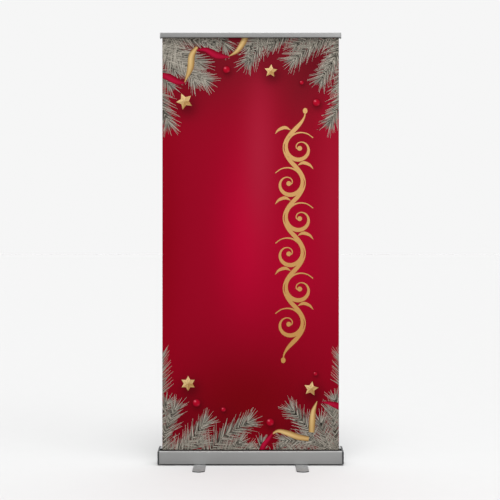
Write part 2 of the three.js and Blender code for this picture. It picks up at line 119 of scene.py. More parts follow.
def pick(kind, test):
    """Selects just the vertices, edges or faces of the open piece that pass the test."""
    bpy.ops.mesh.select_mode(type=kind)
    bpy.ops.mesh.select_all(action="DESELECT")
    mesh = bmesh.from_edit_mesh(bpy.context.object.data)
    for part in {"VERT": mesh.verts, "EDGE": mesh.edges, "FACE": mesh.faces}[kind]:
        if test(part):
            part.select_set(True)
    mesh.select_flush_mode()
    bmesh.update_edit_mesh(bpy.context.object.data)


def everything(part):
    """The test for pick that all parts pass."""
    return True


def move(x=0.0, y=0.0, z=0.0):
    """Moves what is selected."""
    bpy.ops.transform.translate(value=(x, y, z))


def push(x=0.0, y=0.0, z=0.0):
    """Extrudes the selected faces as one region."""
    bpy.ops.mesh.extrude_region_move(TRANSFORM_OT_translate={"value": (x, y, z)})


def push_edges(x=0.0, y=0.0, z=0.0):
    """Extrudes the selected edges."""
    bpy.ops.mesh.extrude_edges_move(TRANSFORM_OT_translate={"value": (x, y, z)})


def round_off(radius, segments):
    """Rounds the selected edges."""
    bpy.ops.mesh.bevel(offset=radius, segments=segments, affect="EDGES")


def modify(piece, kind, **settings):
    """Adds a modifier, sets it and applies it."""
    alone(piece)
    bpy.ops.object.modifier_add(type=kind)
    modifier = piece.modifiers[-1]
    for setting, value in settings.items():
        setattr(modifier, setting, value)
    bpy.ops.object.modifier_apply(modifier=modifier.name)


def combine(piece, other, operation):
    """Cuts the other piece out of this one, or joins it on, and removes the other."""
    modify(piece, "BOOLEAN", operation=operation, object=other, solver="EXACT")
    bpy.data.objects.remove(other)


def soften(piece, width, segments=2, angle=35):
    """Breaks the sharp edges of a finished form and shades it smooth between them."""
    modify(
        piece, "BEVEL", width=width, segments=segments, limit_method="ANGLE",
        angle_limit=math.radians(angle),
    )
    shade(piece)


def shade(piece, angle=32):
    """Shades a piece smooth except across edges sharper than an angle in degrees."""
    alone(piece)
    bpy.ops.object.shade_smooth_by_angle(angle=math.radians(angle))


def turned(name, profile, centre, along="Z", sides=64, ring=False):
    """A lathe-turned piece: a circle drawn out from station to station, each (radius, place along the
    axis). A ring's last station joins up with its first, and any other piece is closed by flat ends."""
    direction = Vector((1, 0, 0)) if along == "X" else Vector((0, 0, 1))
    across = Vector((1, 1, 1)) - direction
    turn = (0, math.pi / 2, 0) if along == "X" else (0, 0, 0)
    radius, place = profile[0]
    bpy.ops.mesh.primitive_circle_add(
        vertices=sides, radius=radius, fill_type="NOTHING" if ring else "NGON",
        location=Vector(centre) + direction * place, rotation=turn,
    )
    piece = added(name)
    edit(piece)
    bpy.ops.mesh.select_mode(type="EDGE" if ring else "FACE")
    bpy.ops.mesh.select_all(action="SELECT")
    for next_radius, next_place in profile[1:] + (profile[:1] if ring else []):
        step = direction * (next_place - place)
        if ring:
            push_edges(*step)
        else:
            push(*step)
        share = next_radius / radius
        bpy.ops.transform.resize(
            value=direction + across * share, center_override=Vector(centre) + direction * next_place,
        )
        radius, place = next_radius, next_place
    bpy.ops.mesh.select_all(action="SELECT")
    bpy.ops.mesh.remove_doubles(threshold=touching)
    bpy.ops.mesh.normals_make_consistent(inside=False)
    done()
    return piece


def upright(name, radius, z0, z1, centre, sides=40):
    """A round bar that stands at a place given by its x and y."""
    return turned(name, [(radius, z0), (radius, z1)], (centre[0], centre[1], 0), sides=sides)


def rod(name, radius, x0, x1, centre, sides=32):
    """A round bar along X, at a place given by its y and z."""
    ends = sorted((x0, x1))
    return turned(name, [(radius, ends[0]), (radius, ends[1])], (0, *centre), along="X", sides=sides)


def cassette_form(name, x0, x1, grow=0.0):
    """The cassette's outline between two places along X: a block whose front half is lowered to the
    lip's height and whose front face swells, with its long corners rounded."""
    top = ledge_z + grow
    front = cassette_front - grow
    rear = cassette_rear + grow
    bottom = cassette_bottom - grow
    form = block(name, (x0, front, bottom), (x1, rear, top))
    edit(form)
    for place in (slot_front, slot_rear):
        pick("FACE", lambda face: lies(face, z=top))
        bpy.ops.mesh.bisect(plane_co=(0, place, 0), plane_no=(0, 1, 0))
    pick("VERT", lambda v: lies(v, z=top) and v.co.y < slot_front + touching)
    move(z=front_lip_z - ledge_z)
    lip = top + front_lip_z - ledge_z
    swell = {0.25: 0.75, 0.5: 1.0, 0.75: 0.75}
    for share in swell:
        pick("FACE", lambda face: lies(face, y=front))
        height = bottom + share * (lip - bottom)
        bpy.ops.mesh.bisect(plane_co=(0, 0, height), plane_no=(0, 0, 1))
    for share, part in swell.items():
        height = bottom + share * (lip - bottom)
        pick("VERT", lambda v: lies(v, y=front, z=height))
        move(y=-front_bulge * part)
    pick("EDGE", lambda e: lies(e, y=front, z=lip) or lies(e, y=front, z=bottom))
    round_off(front_corner + grow, 8)
    pick("EDGE", lambda e: lies(e, y=rear, z=top) or lies(e, y=rear, z=bottom))
    round_off(rear_corner + grow, 10)
    done()
    return form


shell = cassette_form("cassette_shell", shell_low.x, shell_high.x)
edit(shell)
pick("FACE", lambda face: lies(face, x=shell_low.x) or lies(face, x=shell_high.x))
bpy.ops.mesh.delete(type="FACE")
pick("FACE", lambda face: all(slot_front - touching < v.co.y < slot_rear + touching and
                              v.co.z > front_lip_z - touching for v in face.verts))
bpy.ops.mesh.delete(type="FACE")
pick("EDGE", lambda e: lies(e, y=slot_front, z=front_lip_z))
push_edges(z=-slot_lip_depth)
pick("EDGE", lambda e: lies(e, y=slot_rear, z=ledge_z))
push_edges(z=-slot_ledge_depth)
pick("EDGE", lambda e: lies(e, y=slot_front, z=front_lip_z) or lies(e, y=slot_rear, z=ledge_z))
round_off(slot_corner, 8)
done()
modify(shell, "SOLIDIFY", thickness=shell_wall, offset=-1, use_rim=True)

channel_places = [
    (cassette_front + channel_inset, front_lip_z - channel_inset),
    (cassette_rear - channel_inset, ledge_z - channel_inset),
    (cassette_rear - channel_inset, cassette_bottom + channel_inset),
]
inside_x = (shell_low.x + end_gap, shell_high.x - end_gap)
for y, z in channel_places:
    tube = [(channel_bore, inside_x[0]), (channel_radius, inside_x[0]),
            (channel_radius, inside_x[1]), (channel_bore, inside_x[1])]
    combine(shell, turned("screw_channel", tube, (0, y, z), along="X", sides=24, ring=True), "UNION")
for side in (-1, 1):
    y0, y1 = sorted((side * rib_near, side * rib_far))
    rib = block("rib", (inside_x[0], y0, cassette_bottom + shell_wall / 2),
                (inside_x[1], y1, cassette_bottom + shell_wall + rib_height))
    combine(shell, rib, "UNION")

socket_low, socket_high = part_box("pole_socket")
pole_x, pole_y = 0.0, (socket_low.y + socket_high.y) / 2
drill = upright("drill", socket_radius + fit_gap, socket_low.z, ledge_z + past, (pole_x, pole_y), sides=48)
combine(shell, drill, "DIFFERENCE")
foot_centres = {}
for side in ("left", "right"):
    low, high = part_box("foot_" + side)
    foot_centres[side] = (low.x + high.x) / 2
    drill = upright("drill", foot_bolt_hole, cassette_bottom - 0.005, cassette_bottom + 0.005,
                    (foot_centres[side], 0), sides=32)
    combine(shell, drill, "DIFFERENCE")
soften(shell, 0.00025, angle=50)


class Shading:
    """A material, or a node group, with short calls to add and join its nodes."""

    def __init__(self, tree):
        self.tree = tree

    def node(self, kind, **settings):
        made = self.tree.nodes.new(kind)
        for setting, value in settings.items():
            setattr(made, setting, value)
        return made

    def join(self, source, target):
        self.tree.links.new(source, target)

    def blend(self, mask, first, second):
        """A colour that goes from the first to the second as the mask goes from 0 to 1."""
        mix = self.node("ShaderNodeMix", data_type="RGBA")
        self.join(mask, mix.inputs["Factor"])
        for socket, colour in ((mix.inputs["A"], first), (mix.inputs["B"], second)):
            if isinstance(colour, bpy.types.NodeSocket):
                self.join(colour, socket)
            else:
                socket.default_value = (*colour, 1)
        return mix.outputs["Result"]

    def spread(self, value, low, high, start=0.0, stop=1.0):
        """The value between start and stop, spread out from low to high."""
        spread = self.node("ShaderNodeMapRange")
        self.join(value, spread.inputs["Value"])
        spread.inputs["From Min"].default_value = start
        spread.inputs["From Max"].default_value = stop
        spread.inputs["To Min"].default_value = low
        spread.inputs["To Max"].default_value = high
        return spread.outputs["Result"]

    def maths(self, operation, *values):
        node = self.node("ShaderNodeMath", operation=operation)
        for socket, value in zip(node.inputs, values):
            if isinstance(value, bpy.types.NodeSocket):
                self.join(value, socket)
            else:
                socket.default_value = value
        return node.outputs["Value"]

    def noise(self, places, scale, detail):
        """A noise pattern over the given places."""
        noise = self.node("ShaderNodeTexNoise")
        noise.inputs["Scale"].default_value = scale
        noise.inputs["Detail"].default_value = detail
        self.join(places, noise.inputs["Vector"])
        return noise.outputs["Fac"]

    def emboss(self, height, depth, shader):
        """Raises a shader's surface by a pattern, up to a depth in metres."""
        bump = self.node("ShaderNodeBump")
        bump.inputs["Strength"].default_value = 1.0
        bump.inputs["Distance"].default_value = depth
        self.join(height, bump.inputs["Height"])
        self.join(bump.outputs["Normal"], shader.inputs["Normal"])


def grain_group(name):
    """A surface's fine marks: Grain is a noise drawn out by Stretch, Cloud a slow change over it, and
    Specks are sparse small spots."""
    group = bpy.data.node_groups.new(name, "ShaderNodeTree")
    group.interface.new_socket("Stretch", in_out="INPUT", socket_type="NodeSocketVector")
    for output in ("Grain", "Cloud", "Specks"):
        group.interface.new_socket(output, in_out="OUTPUT", socket_type="NodeSocketFloat")
    inside = Shading(group)
    entry = inside.node("NodeGroupInput")
    leave = inside.node("NodeGroupOutput")
    places = inside.node("ShaderNodeTexCoord").outputs["Object"]
    stretched = inside.node("ShaderNodeVectorMath", operation="MULTIPLY")
    inside.join(places, stretched.inputs[0])
    inside.join(entry.outputs["Stretch"], stretched.inputs[1])
    inside.join(inside.noise(stretched.outputs["Vector"], 1.0, 5), leave.inputs["Grain"])
    inside.join(inside.noise(places, 9.0, 3), leave.inputs["Cloud"])
    spots = inside.noise(places, 260.0, 1)
    inside.join(inside.spread(spots, 0, 1, 0.66, 0.74), leave.inputs["Specks"])
    return group


def wear_group(name):
    """Where handling has rubbed a piece: its outer edges, broken up by noise."""
    group = bpy.data.node_groups.new(name, "ShaderNodeTree")
    group.interface.new_socket("Wear", in_out="OUTPUT", socket_type="NodeSocketFloat")
    inside = Shading(group)
    leave = inside.node("NodeGroupOutput")
    edges = inside.node("ShaderNodeNewGeometry")
    places = inside.node("ShaderNodeTexCoord").outputs["Object"]
    proud = inside.spread(edges.outputs["Pointiness"], 0, 1, 0.52, 0.6)
    patchy = inside.spread(inside.noise(places, 90.0, 4), 0, 1, 0.42, 0.62)
    inside.join(inside.maths("MULTIPLY", proud, patchy), leave.inputs["Wear"])
    return group


grain = grain_group("surface_grain")
wear = wear_group("edge_wear")


def new_material(name, metallic):
    """A new material, a way to add to its nodes, and its shader."""
    made = bpy.data.materials.new(name)
    made.use_nodes = True
    shader = made.node_tree.nodes["Principled BSDF"]
    shader.inputs["Metallic"].default_value = metallic
    return made, Shading(made.node_tree), shader


def finish(name, dark, light, rough, stretch, bump, metallic=0.0, worn=None):
    """A finish whose colour lies between two tones and whose gloss and bump follow the same grain."""
    made, shading, shader = new_material(name, metallic)
    marks = shading.node("ShaderNodeGroup", node_tree=grain)
    marks.inputs["Stretch"].default_value = stretch
    share = shading.maths("MULTIPLY_ADD", marks.outputs["Grain"], 0.6, 0.2)
    colour = shading.blend(share, dark, light)
    cloudy = shading.spread(marks.outputs["Cloud"], 0.0, 0.35, 0.35, 0.7)
    colour = shading.blend(cloudy, colour, light)
    if worn:
        rubbed = shading.node("ShaderNodeGroup", node_tree=wear)
        colour = shading.blend(rubbed.outputs["Wear"], colour, worn)
    shading.join(colour, shader.inputs["Base Color"])
    roughness = shading.maths("ADD", shading.spread(marks.outputs["Grain"], *rough),
                              shading.spread(marks.outputs["Cloud"], -0.04, 0.04, 0.3, 0.7))
    shading.join(roughness, shader.inputs["Roughness"])
    shading.emboss(marks.outputs["Grain"], bump, shader)
    return made


drawn_along_x = (14, 1400, 1400)
silver_anodising = finish(
    "silver_anodising", (0.34, 0.34, 0.335), (0.44, 0.44, 0.435), (0.36, 0.48), drawn_along_x, 0.00001,
    metallic=0.30,
)


def place_on(piece, body, material, slot, *nodes):
    """Gives a finished piece its material, lets it ride on a body and stand for CAD nodes. The slot is not
    used.
    """
    if not piece.data.materials:
        piece.data.materials.append(material)
    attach(piece, body)
    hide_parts(*nodes)


place_on(shell, "base", silver_anodising, "satin_aluminium", "base_housing")

# ------------------------------------------------------------
# End caps. Moulded in dark grey ABS to the cassette's outline and a millimetre proud of it, with a
# rounded rim and three sunk screw seats. A boss on the inside carries the roller's axle.
# ------------------------------------------------------------

moulded_dark = finish(
    "moulded_dark_grey", (0.036, 0.037, 0.039), (0.060, 0.062, 0.065), (0.42, 0.58), (900, 900, 900),
    0.00003, worn=(0.10, 0.103, 0.107),
)
axle = (-0.020, 0.034)
boss_radius, axle_bore = 0.010, 0.0043
boss_length, bore_depth = 0.0045, 0.005
cap_overlap, cap_rim, seat_floor = 0.001, 0.0024, 0.005
screw_head_radius = 0.0038
for side, sign in both_ends:
    low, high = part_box("end_cap_" + side)
    outer = low.x if sign < 0 else high.x
    inner = sign * (shell_high.x + 0.0001)
    cap = cassette_form("cassette_cap_" + side, *sorted((inner, outer)), grow=cap_overlap)
    edit(cap)
    pick("EDGE", lambda e: lies(e, x=outer))
    round_off(cap_rim, 6)
    done()
    for place in channel_places:
        drill = rod("drill", screw_head_radius + fit_gap, inner + sign * seat_floor,
                    outer + sign * past, place)
        combine(cap, drill, "DIFFERENCE")
    boss = rod("boss", boss_radius, inner - sign * boss_length, inner + sign * past, axle, sides=48)
    combine(cap, boss, "UNION")
    drill = rod("drill", axle_bore, inner - sign * (boss_length + past), inner + sign * bore_depth, axle)
    combine(cap, drill, "DIFFERENCE")
    soften(cap, 0.0002, angle=55)
    place_on(cap, "base", moulded_dark, "dark_plastic", "end_cap_" + side)

# ------------------------------------------------------------
# Cap screws. Zinc-plated pan-head screws with a cross recess, driven into the shell's channels.
# ------------------------------------------------------------

zinc_plate = finish(
    "zinc_plate", (0.42, 0.43, 0.45), (0.62, 0.62, 0.61), (0.24, 0.4), (500, 500, 500), 0.00001,
    metallic=1.0,
)
thread_radius, thread_tip, tip_length, screw_head_height = 0.0014, 0.0006, 0.003, 0.0024
recess_depth, recess_reach, recess_half = 0.0014, 0.0019, 0.00045
for side, sign in both_ends:
    for number, (y, z) in enumerate(channel_places, 1):
        node = f"cap_screw_{side}_{number}"
        low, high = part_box(node)
        tip, head = (high.x, low.x) if sign < 0 else (low.x, high.x)
        seat = head - sign * screw_head_height
        profile = [
            (thread_tip, tip), (thread_radius, tip + sign * tip_length), (thread_radius, seat),
            (screw_head_radius, seat), (screw_head_radius, seat + sign * 0.0008),
            (0.0034, seat + sign * 0.0017), (0.0024, head - sign * 0.0002), (0.0012, head),
        ]
        screw = turned(node.replace("cap_", "pan_"), profile, (0, y, z), along="X", sides=40)
        for half_y, half_z in ((recess_reach, recess_half), (recess_half, recess_reach)):
            x0, x1 = sorted((head - sign * recess_depth, head + sign * past))
            cross = block("cross", (x0, y - half_y, z - half_z), (x1, y + half_y, z + half_z))
            combine(screw, cross, "DIFFERENCE")
        soften(screw, 0.00012, angle=50)
        place_on(screw, "base", zinc_plate, "bright_steel", node)

# ------------------------------------------------------------
# Feet. Flat anodised plates whose ends are cut to an arc and whose edges are eased. Each turns on a
# countersunk bolt from below, with a nylon washer between it and the cassette and a nut in the shell.
# ------------------------------------------------------------

foot_finish = finish(
    "foot_anodising", (0.27, 0.275, 0.275), (0.35, 0.355, 0.355), (0.36, 0.5), (1400, 18, 1400), 0.00001,
    metallic=0.5, worn=(0.55, 0.55, 0.55),
)
# The feet's upright sides get a dark finish of their own: painted shade, standing in for the shadow on the
# plate's sides.
painted_side_shade = finish(
    "foot_painted_side_shade", (0.045, 0.046, 0.048), (0.075, 0.076, 0.078), (0.45, 0.6), (900, 900, 60), 0.00001,
    metallic=0.5,
)
tip_radius, tip_points, eased_edge = 0.038, 160, 0.0009
sink_radius, sink_depth = 0.0072, 0.0042
bolt_radius, bolt_head_radius, bolt_head_height, bolt_chamfer = 0.0029, 0.0054, 0.0034, 0.0004
key_radius, key_depth = 0.0023, 0.002


def foot_plate(name, low, high):
    """A disc trimmed to the foot's width, then its front and rear halves drawn apart."""
    centre = (low + high) / 2
    half_length = (high.y - low.y) / 2
    bpy.ops.mesh.primitive_circle_add(
        vertices=tip_points, radius=tip_radius, fill_type="NGON", location=(centre.x, 0, low.z),
        rotation=(0, 0, math.pi / tip_points),
    )
    plate = added(name)
    edit(plate)
    for edge_x, outward in ((low.x, -1), (high.x, 1)):
        pick("FACE", everything)
        bpy.ops.mesh.bisect(
            plane_co=(edge_x, 0, 0), plane_no=(outward, 0, 0), clear_outer=True, use_fill=False,
        )
    for end in (-1, 1):
        pick("VERT", lambda v: v.co.y * end > 0)
        move(y=end * (half_length - tip_radius))
    pick("FACE", everything)
    push(z=high.z - low.z)
    pick("FACE", everything)
    bpy.ops.mesh.normals_make_consistent(inside=False)
    pick("EDGE", lambda e: lies(e, z=low.z) or lies(e, z=high.z))
    round_off(eased_edge, 3)
    done()
    sink = turned(
        "sink", [(sink_radius, low.z - past), (foot_bolt_hole, low.z + sink_depth),
                 (foot_bolt_hole, high.z + past)],
        (centre.x, 0, 0), sides=48,
    )
    combine(plate, sink, "DIFFERENCE")
    shade(plate)
    plate.data.materials.append(foot_finish)
    plate.data.materials.append(painted_side_shade)
    # Painted shade: the plate's upright faces take the dark finish, its top and bottom the anodising.
    for face in plate.data.polygons:
        face.material_index = 1 if abs(face.normal.z) < 0.6 else 0
    return plate


for side in ("left", "right"):
    plate = foot_plate("swivel_foot_" + side, *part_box("foot_" + side))
    place_on(plate, side + "_foot", foot_finish, "foot_metal", "foot_" + side)

    bolt_low, bolt_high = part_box("pivot_bolt_" + side)
    foot_x = foot_centres[side]
    bolt = turned(
        "countersunk_bolt_" + side,
        [(bolt_head_radius, bolt_low.z), (bolt_radius, bolt_low.z + bolt_head_height),
         (bolt_radius, bolt_high.z - bolt_chamfer), (bolt_radius - bolt_chamfer, bolt_high.z)],
        (foot_x, 0, 0), sides=48,
    )
    socket = upright("socket", key_radius, bolt_low.z - past, bolt_low.z + key_depth, (foot_x, 0), sides=6)
    combine(bolt, socket, "DIFFERENCE")
    soften(bolt, 0.00015, angle=50)
    place_on(bolt, "base", zinc_plate, "bright_steel", "pivot_bolt_" + side)

# ------------------------------------------------------------
# Foot washers and nuts. A white nylon washer lets each foot turn under the shell, and a square zinc
# nut is held from turning between the shell's two ribs.
# ------------------------------------------------------------

moulded_white = finish(
    "moulded_white_nylon", (0.58, 0.57, 0.54), (0.70, 0.69, 0.66), (0.42, 0.56), (700, 700, 700), 0.00002,
)


def refinish(material, *nodes):
    """Gives CAD nodes that stay as they are their finish."""
    for node in nodes:
        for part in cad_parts[node].material_slots:
            part.material = material


refinish(moulded_white, "pivot_washer_left", "pivot_washer_right")
refinish(zinc_plate, "pivot_nut_left", "pivot_nut_right")

# ------------------------------------------------------------
# Roller. An aluminium tube on two moulded plugs, with the rest of the film wound on it. The right plug
# turns about a fixed steel shaft, and the torsion spring between them pulls the film back in.
# ------------------------------------------------------------

spring_steel = finish(
    "spring_steel", (0.20, 0.20, 0.21), (0.34, 0.34, 0.35), (0.26, 0.42), (60, 900, 900), 0.00001,
    metallic=1.0,
)
wound_film_back = finish(
    "wound_film_back", (0.42, 0.42, 0.42), (0.5, 0.5, 0.5), (0.45, 0.6), (6, 2500, 2500), 0.00002,
)
refinish(silver_anodising, "roller_tube")
refinish(moulded_dark, "roller_plug_left", "roller_plug_right", "spring_anchor")
refinish(spring_steel, "spring_shaft", "torsion_spring", "idler_pin")
refinish(wound_film_back, "wound_film")

# ------------------------------------------------------------
# Pole socket. A black nylon cup pressed into the shell's rear hole, with a flange that lies on the
# ledge. The pole stands in it.
# ------------------------------------------------------------

moulded_black = finish(
    "moulded_black_nylon", (0.016, 0.016, 0.017), (0.032, 0.032, 0.034), (0.38, 0.54), (800, 800, 800),
    0.00003, worn=(0.07, 0.07, 0.072),
)
socket_bore, socket_floor = 0.0098, 0.0047
flange_radius, flange_edge, flange_ease = 0.015, 0.0014, 0.0006
flange_z = ledge_z + fit_gap
socket_cup = turned(
    "pole_socket_cup",
    [(socket_radius, socket_low.z), (socket_radius, flange_z), (flange_radius, flange_z),
     (flange_radius, flange_z + flange_edge), (flange_radius - flange_ease, socket_high.z),
     (socket_bore + flange_ease, socket_high.z), (socket_bore, socket_high.z - flange_ease),
     (socket_bore, socket_low.z + socket_floor)],
    (pole_x, pole_y, 0), sides=96,
)
shade(socket_cup)
place_on(socket_cup, "base", moulded_black, "black_nylon", "pole_socket")

# ------------------------------------------------------------
# Pole. Three drawn aluminium tubes that slide one inside the next, with eased ends. Moulded plugs in
# their lower ends stop them rattling.
# ------------------------------------------------------------

tube_wall, tube_ease, tube_chamfer = 0.001, 0.0002, 0.0003
pole_anodising = finish(
    "pole_anodising", (0.38, 0.38, 0.38), (0.50, 0.50, 0.495), (0.30, 0.42), (1400, 1400, 12), 0.00001,
    metallic=0.7,
)
tube_radii = {}
for level, body in (("lower", "base"), ("middle", "pole_middle"), ("upper", "pole_upper")):
    low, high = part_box("pole_tube_" + level)
    radius = tube_radii[level] = (high.x - low.x) / 2
    tube = turned(
        "pole_" + level,
        [(radius - tube_wall, low.z), (radius - tube_ease, low.z), (radius, low.z + tube_chamfer),
         (radius, high.z - tube_chamfer), (radius - tube_ease, high.z), (radius - tube_wall, high.z)],
        (pole_x, pole_y, 0), sides=96, ring=True,
    )
    shade(tube)
    place_on(tube, body, pole_anodising, "satin_aluminium", "pole_tube_" + level)
refinish(moulded_black, "pole_foot_plug", "pole_guide_middle", "pole_guide_upper")

# ------------------------------------------------------------
# Lever clamps. A black moulded collar on the top of each outer tube has two ears and a steel pin, and
# a dark lever that turns on the pin presses on the inner tube to hold it.
# ------------------------------------------------------------

collar_wall, knuckle_radius, pin_radius, ear_height = 0.0034, 0.004, 0.002, 0.007
ring_groove, ear_bite, ear_inset = 0.0004, 0.002, 0.001
lever_gap, lever_thickness, grip_depth, grip_strips = 0.0006, 0.0034, 0.0005, (3, 5, 7, 9, 11, 13)
pin_angle, lever_end, rib_pitch = math.radians(140), math.radians(15), math.radians(2.5)
pole = Vector((pole_x, pole_y, 0))
toward_pin = Vector((math.cos(pin_angle), math.sin(pin_angle), 0))


def clamp_collar(level, outer_level, inner_level, pin):
    """A grooved collar that steps in from the outer tube to the inner one, with two ears for the pin."""
    low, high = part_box("clamp_collar_" + level)
    outer, inner = tube_radii[outer_level], tube_radii[inner_level]
    radius = outer + collar_wall
    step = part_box("pole_tube_" + outer_level)[1].z + fit_gap
    rings = [(0.0008, 0.0), (0.0, 0.0008), (0.0, 0.0030), (ring_groove, 0.0034), (ring_groove, 0.0042),
             (0.0, 0.0046)]
    outside = [(radius - sunk, low.z + rise) for sunk, rise in rings]
    outside += [(radius - sunk, high.z - rise) for sunk, rise in reversed(rings)]
    collar = turned(
        "clamp_body_" + level,
        [(outer + fit_gap, low.z), *outside, (inner + fit_gap, high.z), (inner + fit_gap, step),
         (outer + fit_gap, step)],
        pole, sides=96, ring=True,
    )
    start, reach = radius - ear_bite, radius + knuckle_radius
    middle = pole + toward_pin * (start + reach) / 2
    for z0, z1 in ((low.z + ear_inset, low.z + ear_height), (high.z - ear_height, high.z - ear_inset)):
        bpy.ops.mesh.primitive_cube_add(
            size=1, location=(middle.x, middle.y, (z0 + z1) / 2), rotation=(0, 0, pin_angle),
            scale=(reach - start, 2 * knuckle_radius, z1 - z0),
        )
        combine(collar, added("ear"), "UNION")
        combine(collar, upright("ear_end", knuckle_radius, z0, z1, pin), "UNION")
    return collar


def clamp_handle(level, radius, z0, z1, pin):
    """A slab swept round the collar to the pin, with grip ribs near its free end and a knuckle."""
    middle_radius = radius + lever_gap + lever_thickness / 2
    bpy.ops.mesh.primitive_cube_add(
        size=1, rotation=(0, 0, lever_end), scale=(lever_thickness, 0.0004, z1 - z0),
        location=(pole_x + middle_radius * math.cos(lever_end),
                  pole_y + middle_radius * math.sin(lever_end), (z0 + z1) / 2),
    )
    lever = added("clamp_handle_" + level)
    edit(lever)
    onward = Vector((-math.sin(lever_end), math.cos(lever_end), 0))
    pick("FACE", lambda face: face.normal.dot(onward) > 0.9)
    bpy.ops.mesh.spin(
        steps=50, angle=lever_end - pin_angle, center=(pole_x, pole_y, 0), axis=(0, 0, 1),
    )

    def is_grip_rib(face):
        """True for every other strip of the outer side near the lever's free end."""
        place = face.calc_center_median() - pole
        strip = round((math.atan2(place.y, place.x) - lever_end) / rib_pitch - 0.5)
        outside = math.hypot(place.x, place.y) > middle_radius + lever_thickness / 4
        return outside and abs(face.normal.z) < 0.5 and strip in grip_strips

    pick("FACE", is_grip_rib)
    bpy.ops.mesh.inset(thickness=0.00012, depth=grip_depth, use_individual=True)
    done()
    combine(lever, upright("knuckle", knuckle_radius - 0.0006, z0, z1, pin), "UNION")
    return lever


def clamp(level, outer_level, inner_level, collar_body, lever_body):
    """One clamp: its collar, its pin and its lever."""
    low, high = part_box("clamp_collar_" + level)
    radius = tube_radii[outer_level] + collar_wall
    pin = pole + toward_pin * (radius + knuckle_radius)
    pin_hole = (pin_radius + fit_gap, low.z - past, high.z + past, pin)

    collar = clamp_collar(level, outer_level, inner_level, pin)
    combine(collar, upright("drill", *pin_hole), "DIFFERENCE")
    soften(collar, 0.0003, angle=40)
    place_on(collar, collar_body, moulded_black, "black_nylon", "clamp_collar_" + level)

    pin_low, pin_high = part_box("clamp_pin_" + level)
    rivet = turned(
        "clamp_rivet_" + level,
        [(0.0015, pin_low.z), (pin_radius, pin_low.z + 0.0004), (pin_radius, pin_high.z - 0.0004),
         (0.0015, pin_high.z)],
        (pin.x, pin.y, 0), sides=32,
    )
    shade(rivet)
    place_on(rivet, collar_body, zinc_plate, "bright_steel", "clamp_pin_" + level)

    inset = ear_height + fit_gap
    lever = clamp_handle(level, radius, low.z + inset, high.z - inset, pin)
    combine(lever, upright("drill", *pin_hole), "DIFFERENCE")
    soften(lever, 0.0003, angle=50)
    place_on(lever, lever_body, moulded_dark, "dark_plastic", "clamp_lever_" + level)


clamp("lower", "lower", "middle", "base", "lower_lever")
clamp("upper", "middle", "upper", "pole_middle", "upper_lever")

# ------------------------------------------------------------
# Pole hook. A moulded cap on the pole's top, whose spigot fits the tube. Its tapered arm reaches
# forward to a tongue that stands in the rail's rear groove.
# ------------------------------------------------------------

hook_low, hook_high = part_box("pole_hook")
rail_low, rail_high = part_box("top_rail")
arm_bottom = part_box("pole_tube_upper")[1].z + 0.0001
arm_top = rail_low.z - 0.0006
tongue_half = (hook_high.x - hook_low.x) / 2
tongue_thickness, tongue_corner, hook_overhang = 0.0032, 0.003, 0.0028
notch_x, notch_half, notch_reach = 0.005, 0.0008, 0.0035
tongue_front, tongue_rear = hook_low.y, hook_low.y + tongue_thickness
hook_radius = tube_radii["upper"] + hook_overhang
hook = block("pole_hook_arm", (-tongue_half, tongue_front, arm_bottom), (tongue_half, pole_y, arm_top))
edit(hook)
pick("FACE", everything)
bpy.ops.mesh.bisect(plane_co=(0, tongue_rear, 0), plane_no=(0, 1, 0))
pick("VERT", lambda v: lies(v, y=pole_y))
bpy.ops.transform.resize(
    value=(hook_radius / tongue_half, 1, 1), center_override=(pole_x, pole_y, arm_top),
)
done()
combine(hook, upright("cap", hook_radius, arm_bottom, arm_top, (pole_x, pole_y), sides=72), "UNION")
tongue = block("tongue", (-tongue_half, tongue_front, arm_top - past),
               (tongue_half, tongue_rear, hook_high.z))
edit(tongue)
pick("EDGE", lambda e: lies(e, z=hook_high.z) and (lies(e, x=-tongue_half) or lies(e, x=tongue_half)))
round_off(tongue_corner, 5)
done()
combine(hook, tongue, "UNION")
spigot = tube_radii["upper"] - tube_wall - fit_gap
combine(hook, upright("spigot", spigot, hook_low.z, arm_bottom + past, (pole_x, pole_y)), "UNION")
for x in (-notch_x, notch_x):
    notch = block("notch", (x - notch_half, tongue_rear - past, arm_top - past),
                  (x + notch_half, tongue_rear + notch_reach, rail_low.z - end_gap))
    combine(hook, notch, "DIFFERENCE")
soften(hook, 0.0006, segments=3, angle=40)
place_on(hook, "pole_upper", moulded_black, "black_nylon", "pole_hook")

# ------------------------------------------------------------
# Top rail. One silver extrusion sawn to the film's width, with a keyed pocket for the film's hanger
# strip, a groove behind it for the hook, and a hollow chamber in front that holds the end caps.
# ------------------------------------------------------------

rail_corner = 0.0032
mouth_ys, pocket_ys, groove_ys = (-0.0037, -0.0013), (-0.0062, 0.0009), (0.0025, 0.0065)
pocket_floor, pocket_top, groove_depth = 0.0035, 0.0095, 0.016
chamber_ys, chamber_zs = (-0.0104, 0.0007), (0.0113, 0.0222)
rail = block("hanging_rail", rail_low, rail_high)
edit(rail)
for place in (*mouth_ys, *groove_ys):
    pick("FACE", lambda face: lies(face, z=rail_low.z))
    bpy.ops.mesh.bisect(plane_co=(0, place, 0), plane_no=(0, 1, 0))


def between(face, ys, **places):
    """True if a face lies between two places along Y, and at the given x, y or z."""
    ends = [v.co.y for v in face.verts]
    return min(ends) > ys[0] - touching and max(ends) < ys[1] + touching and lies(face, **places)


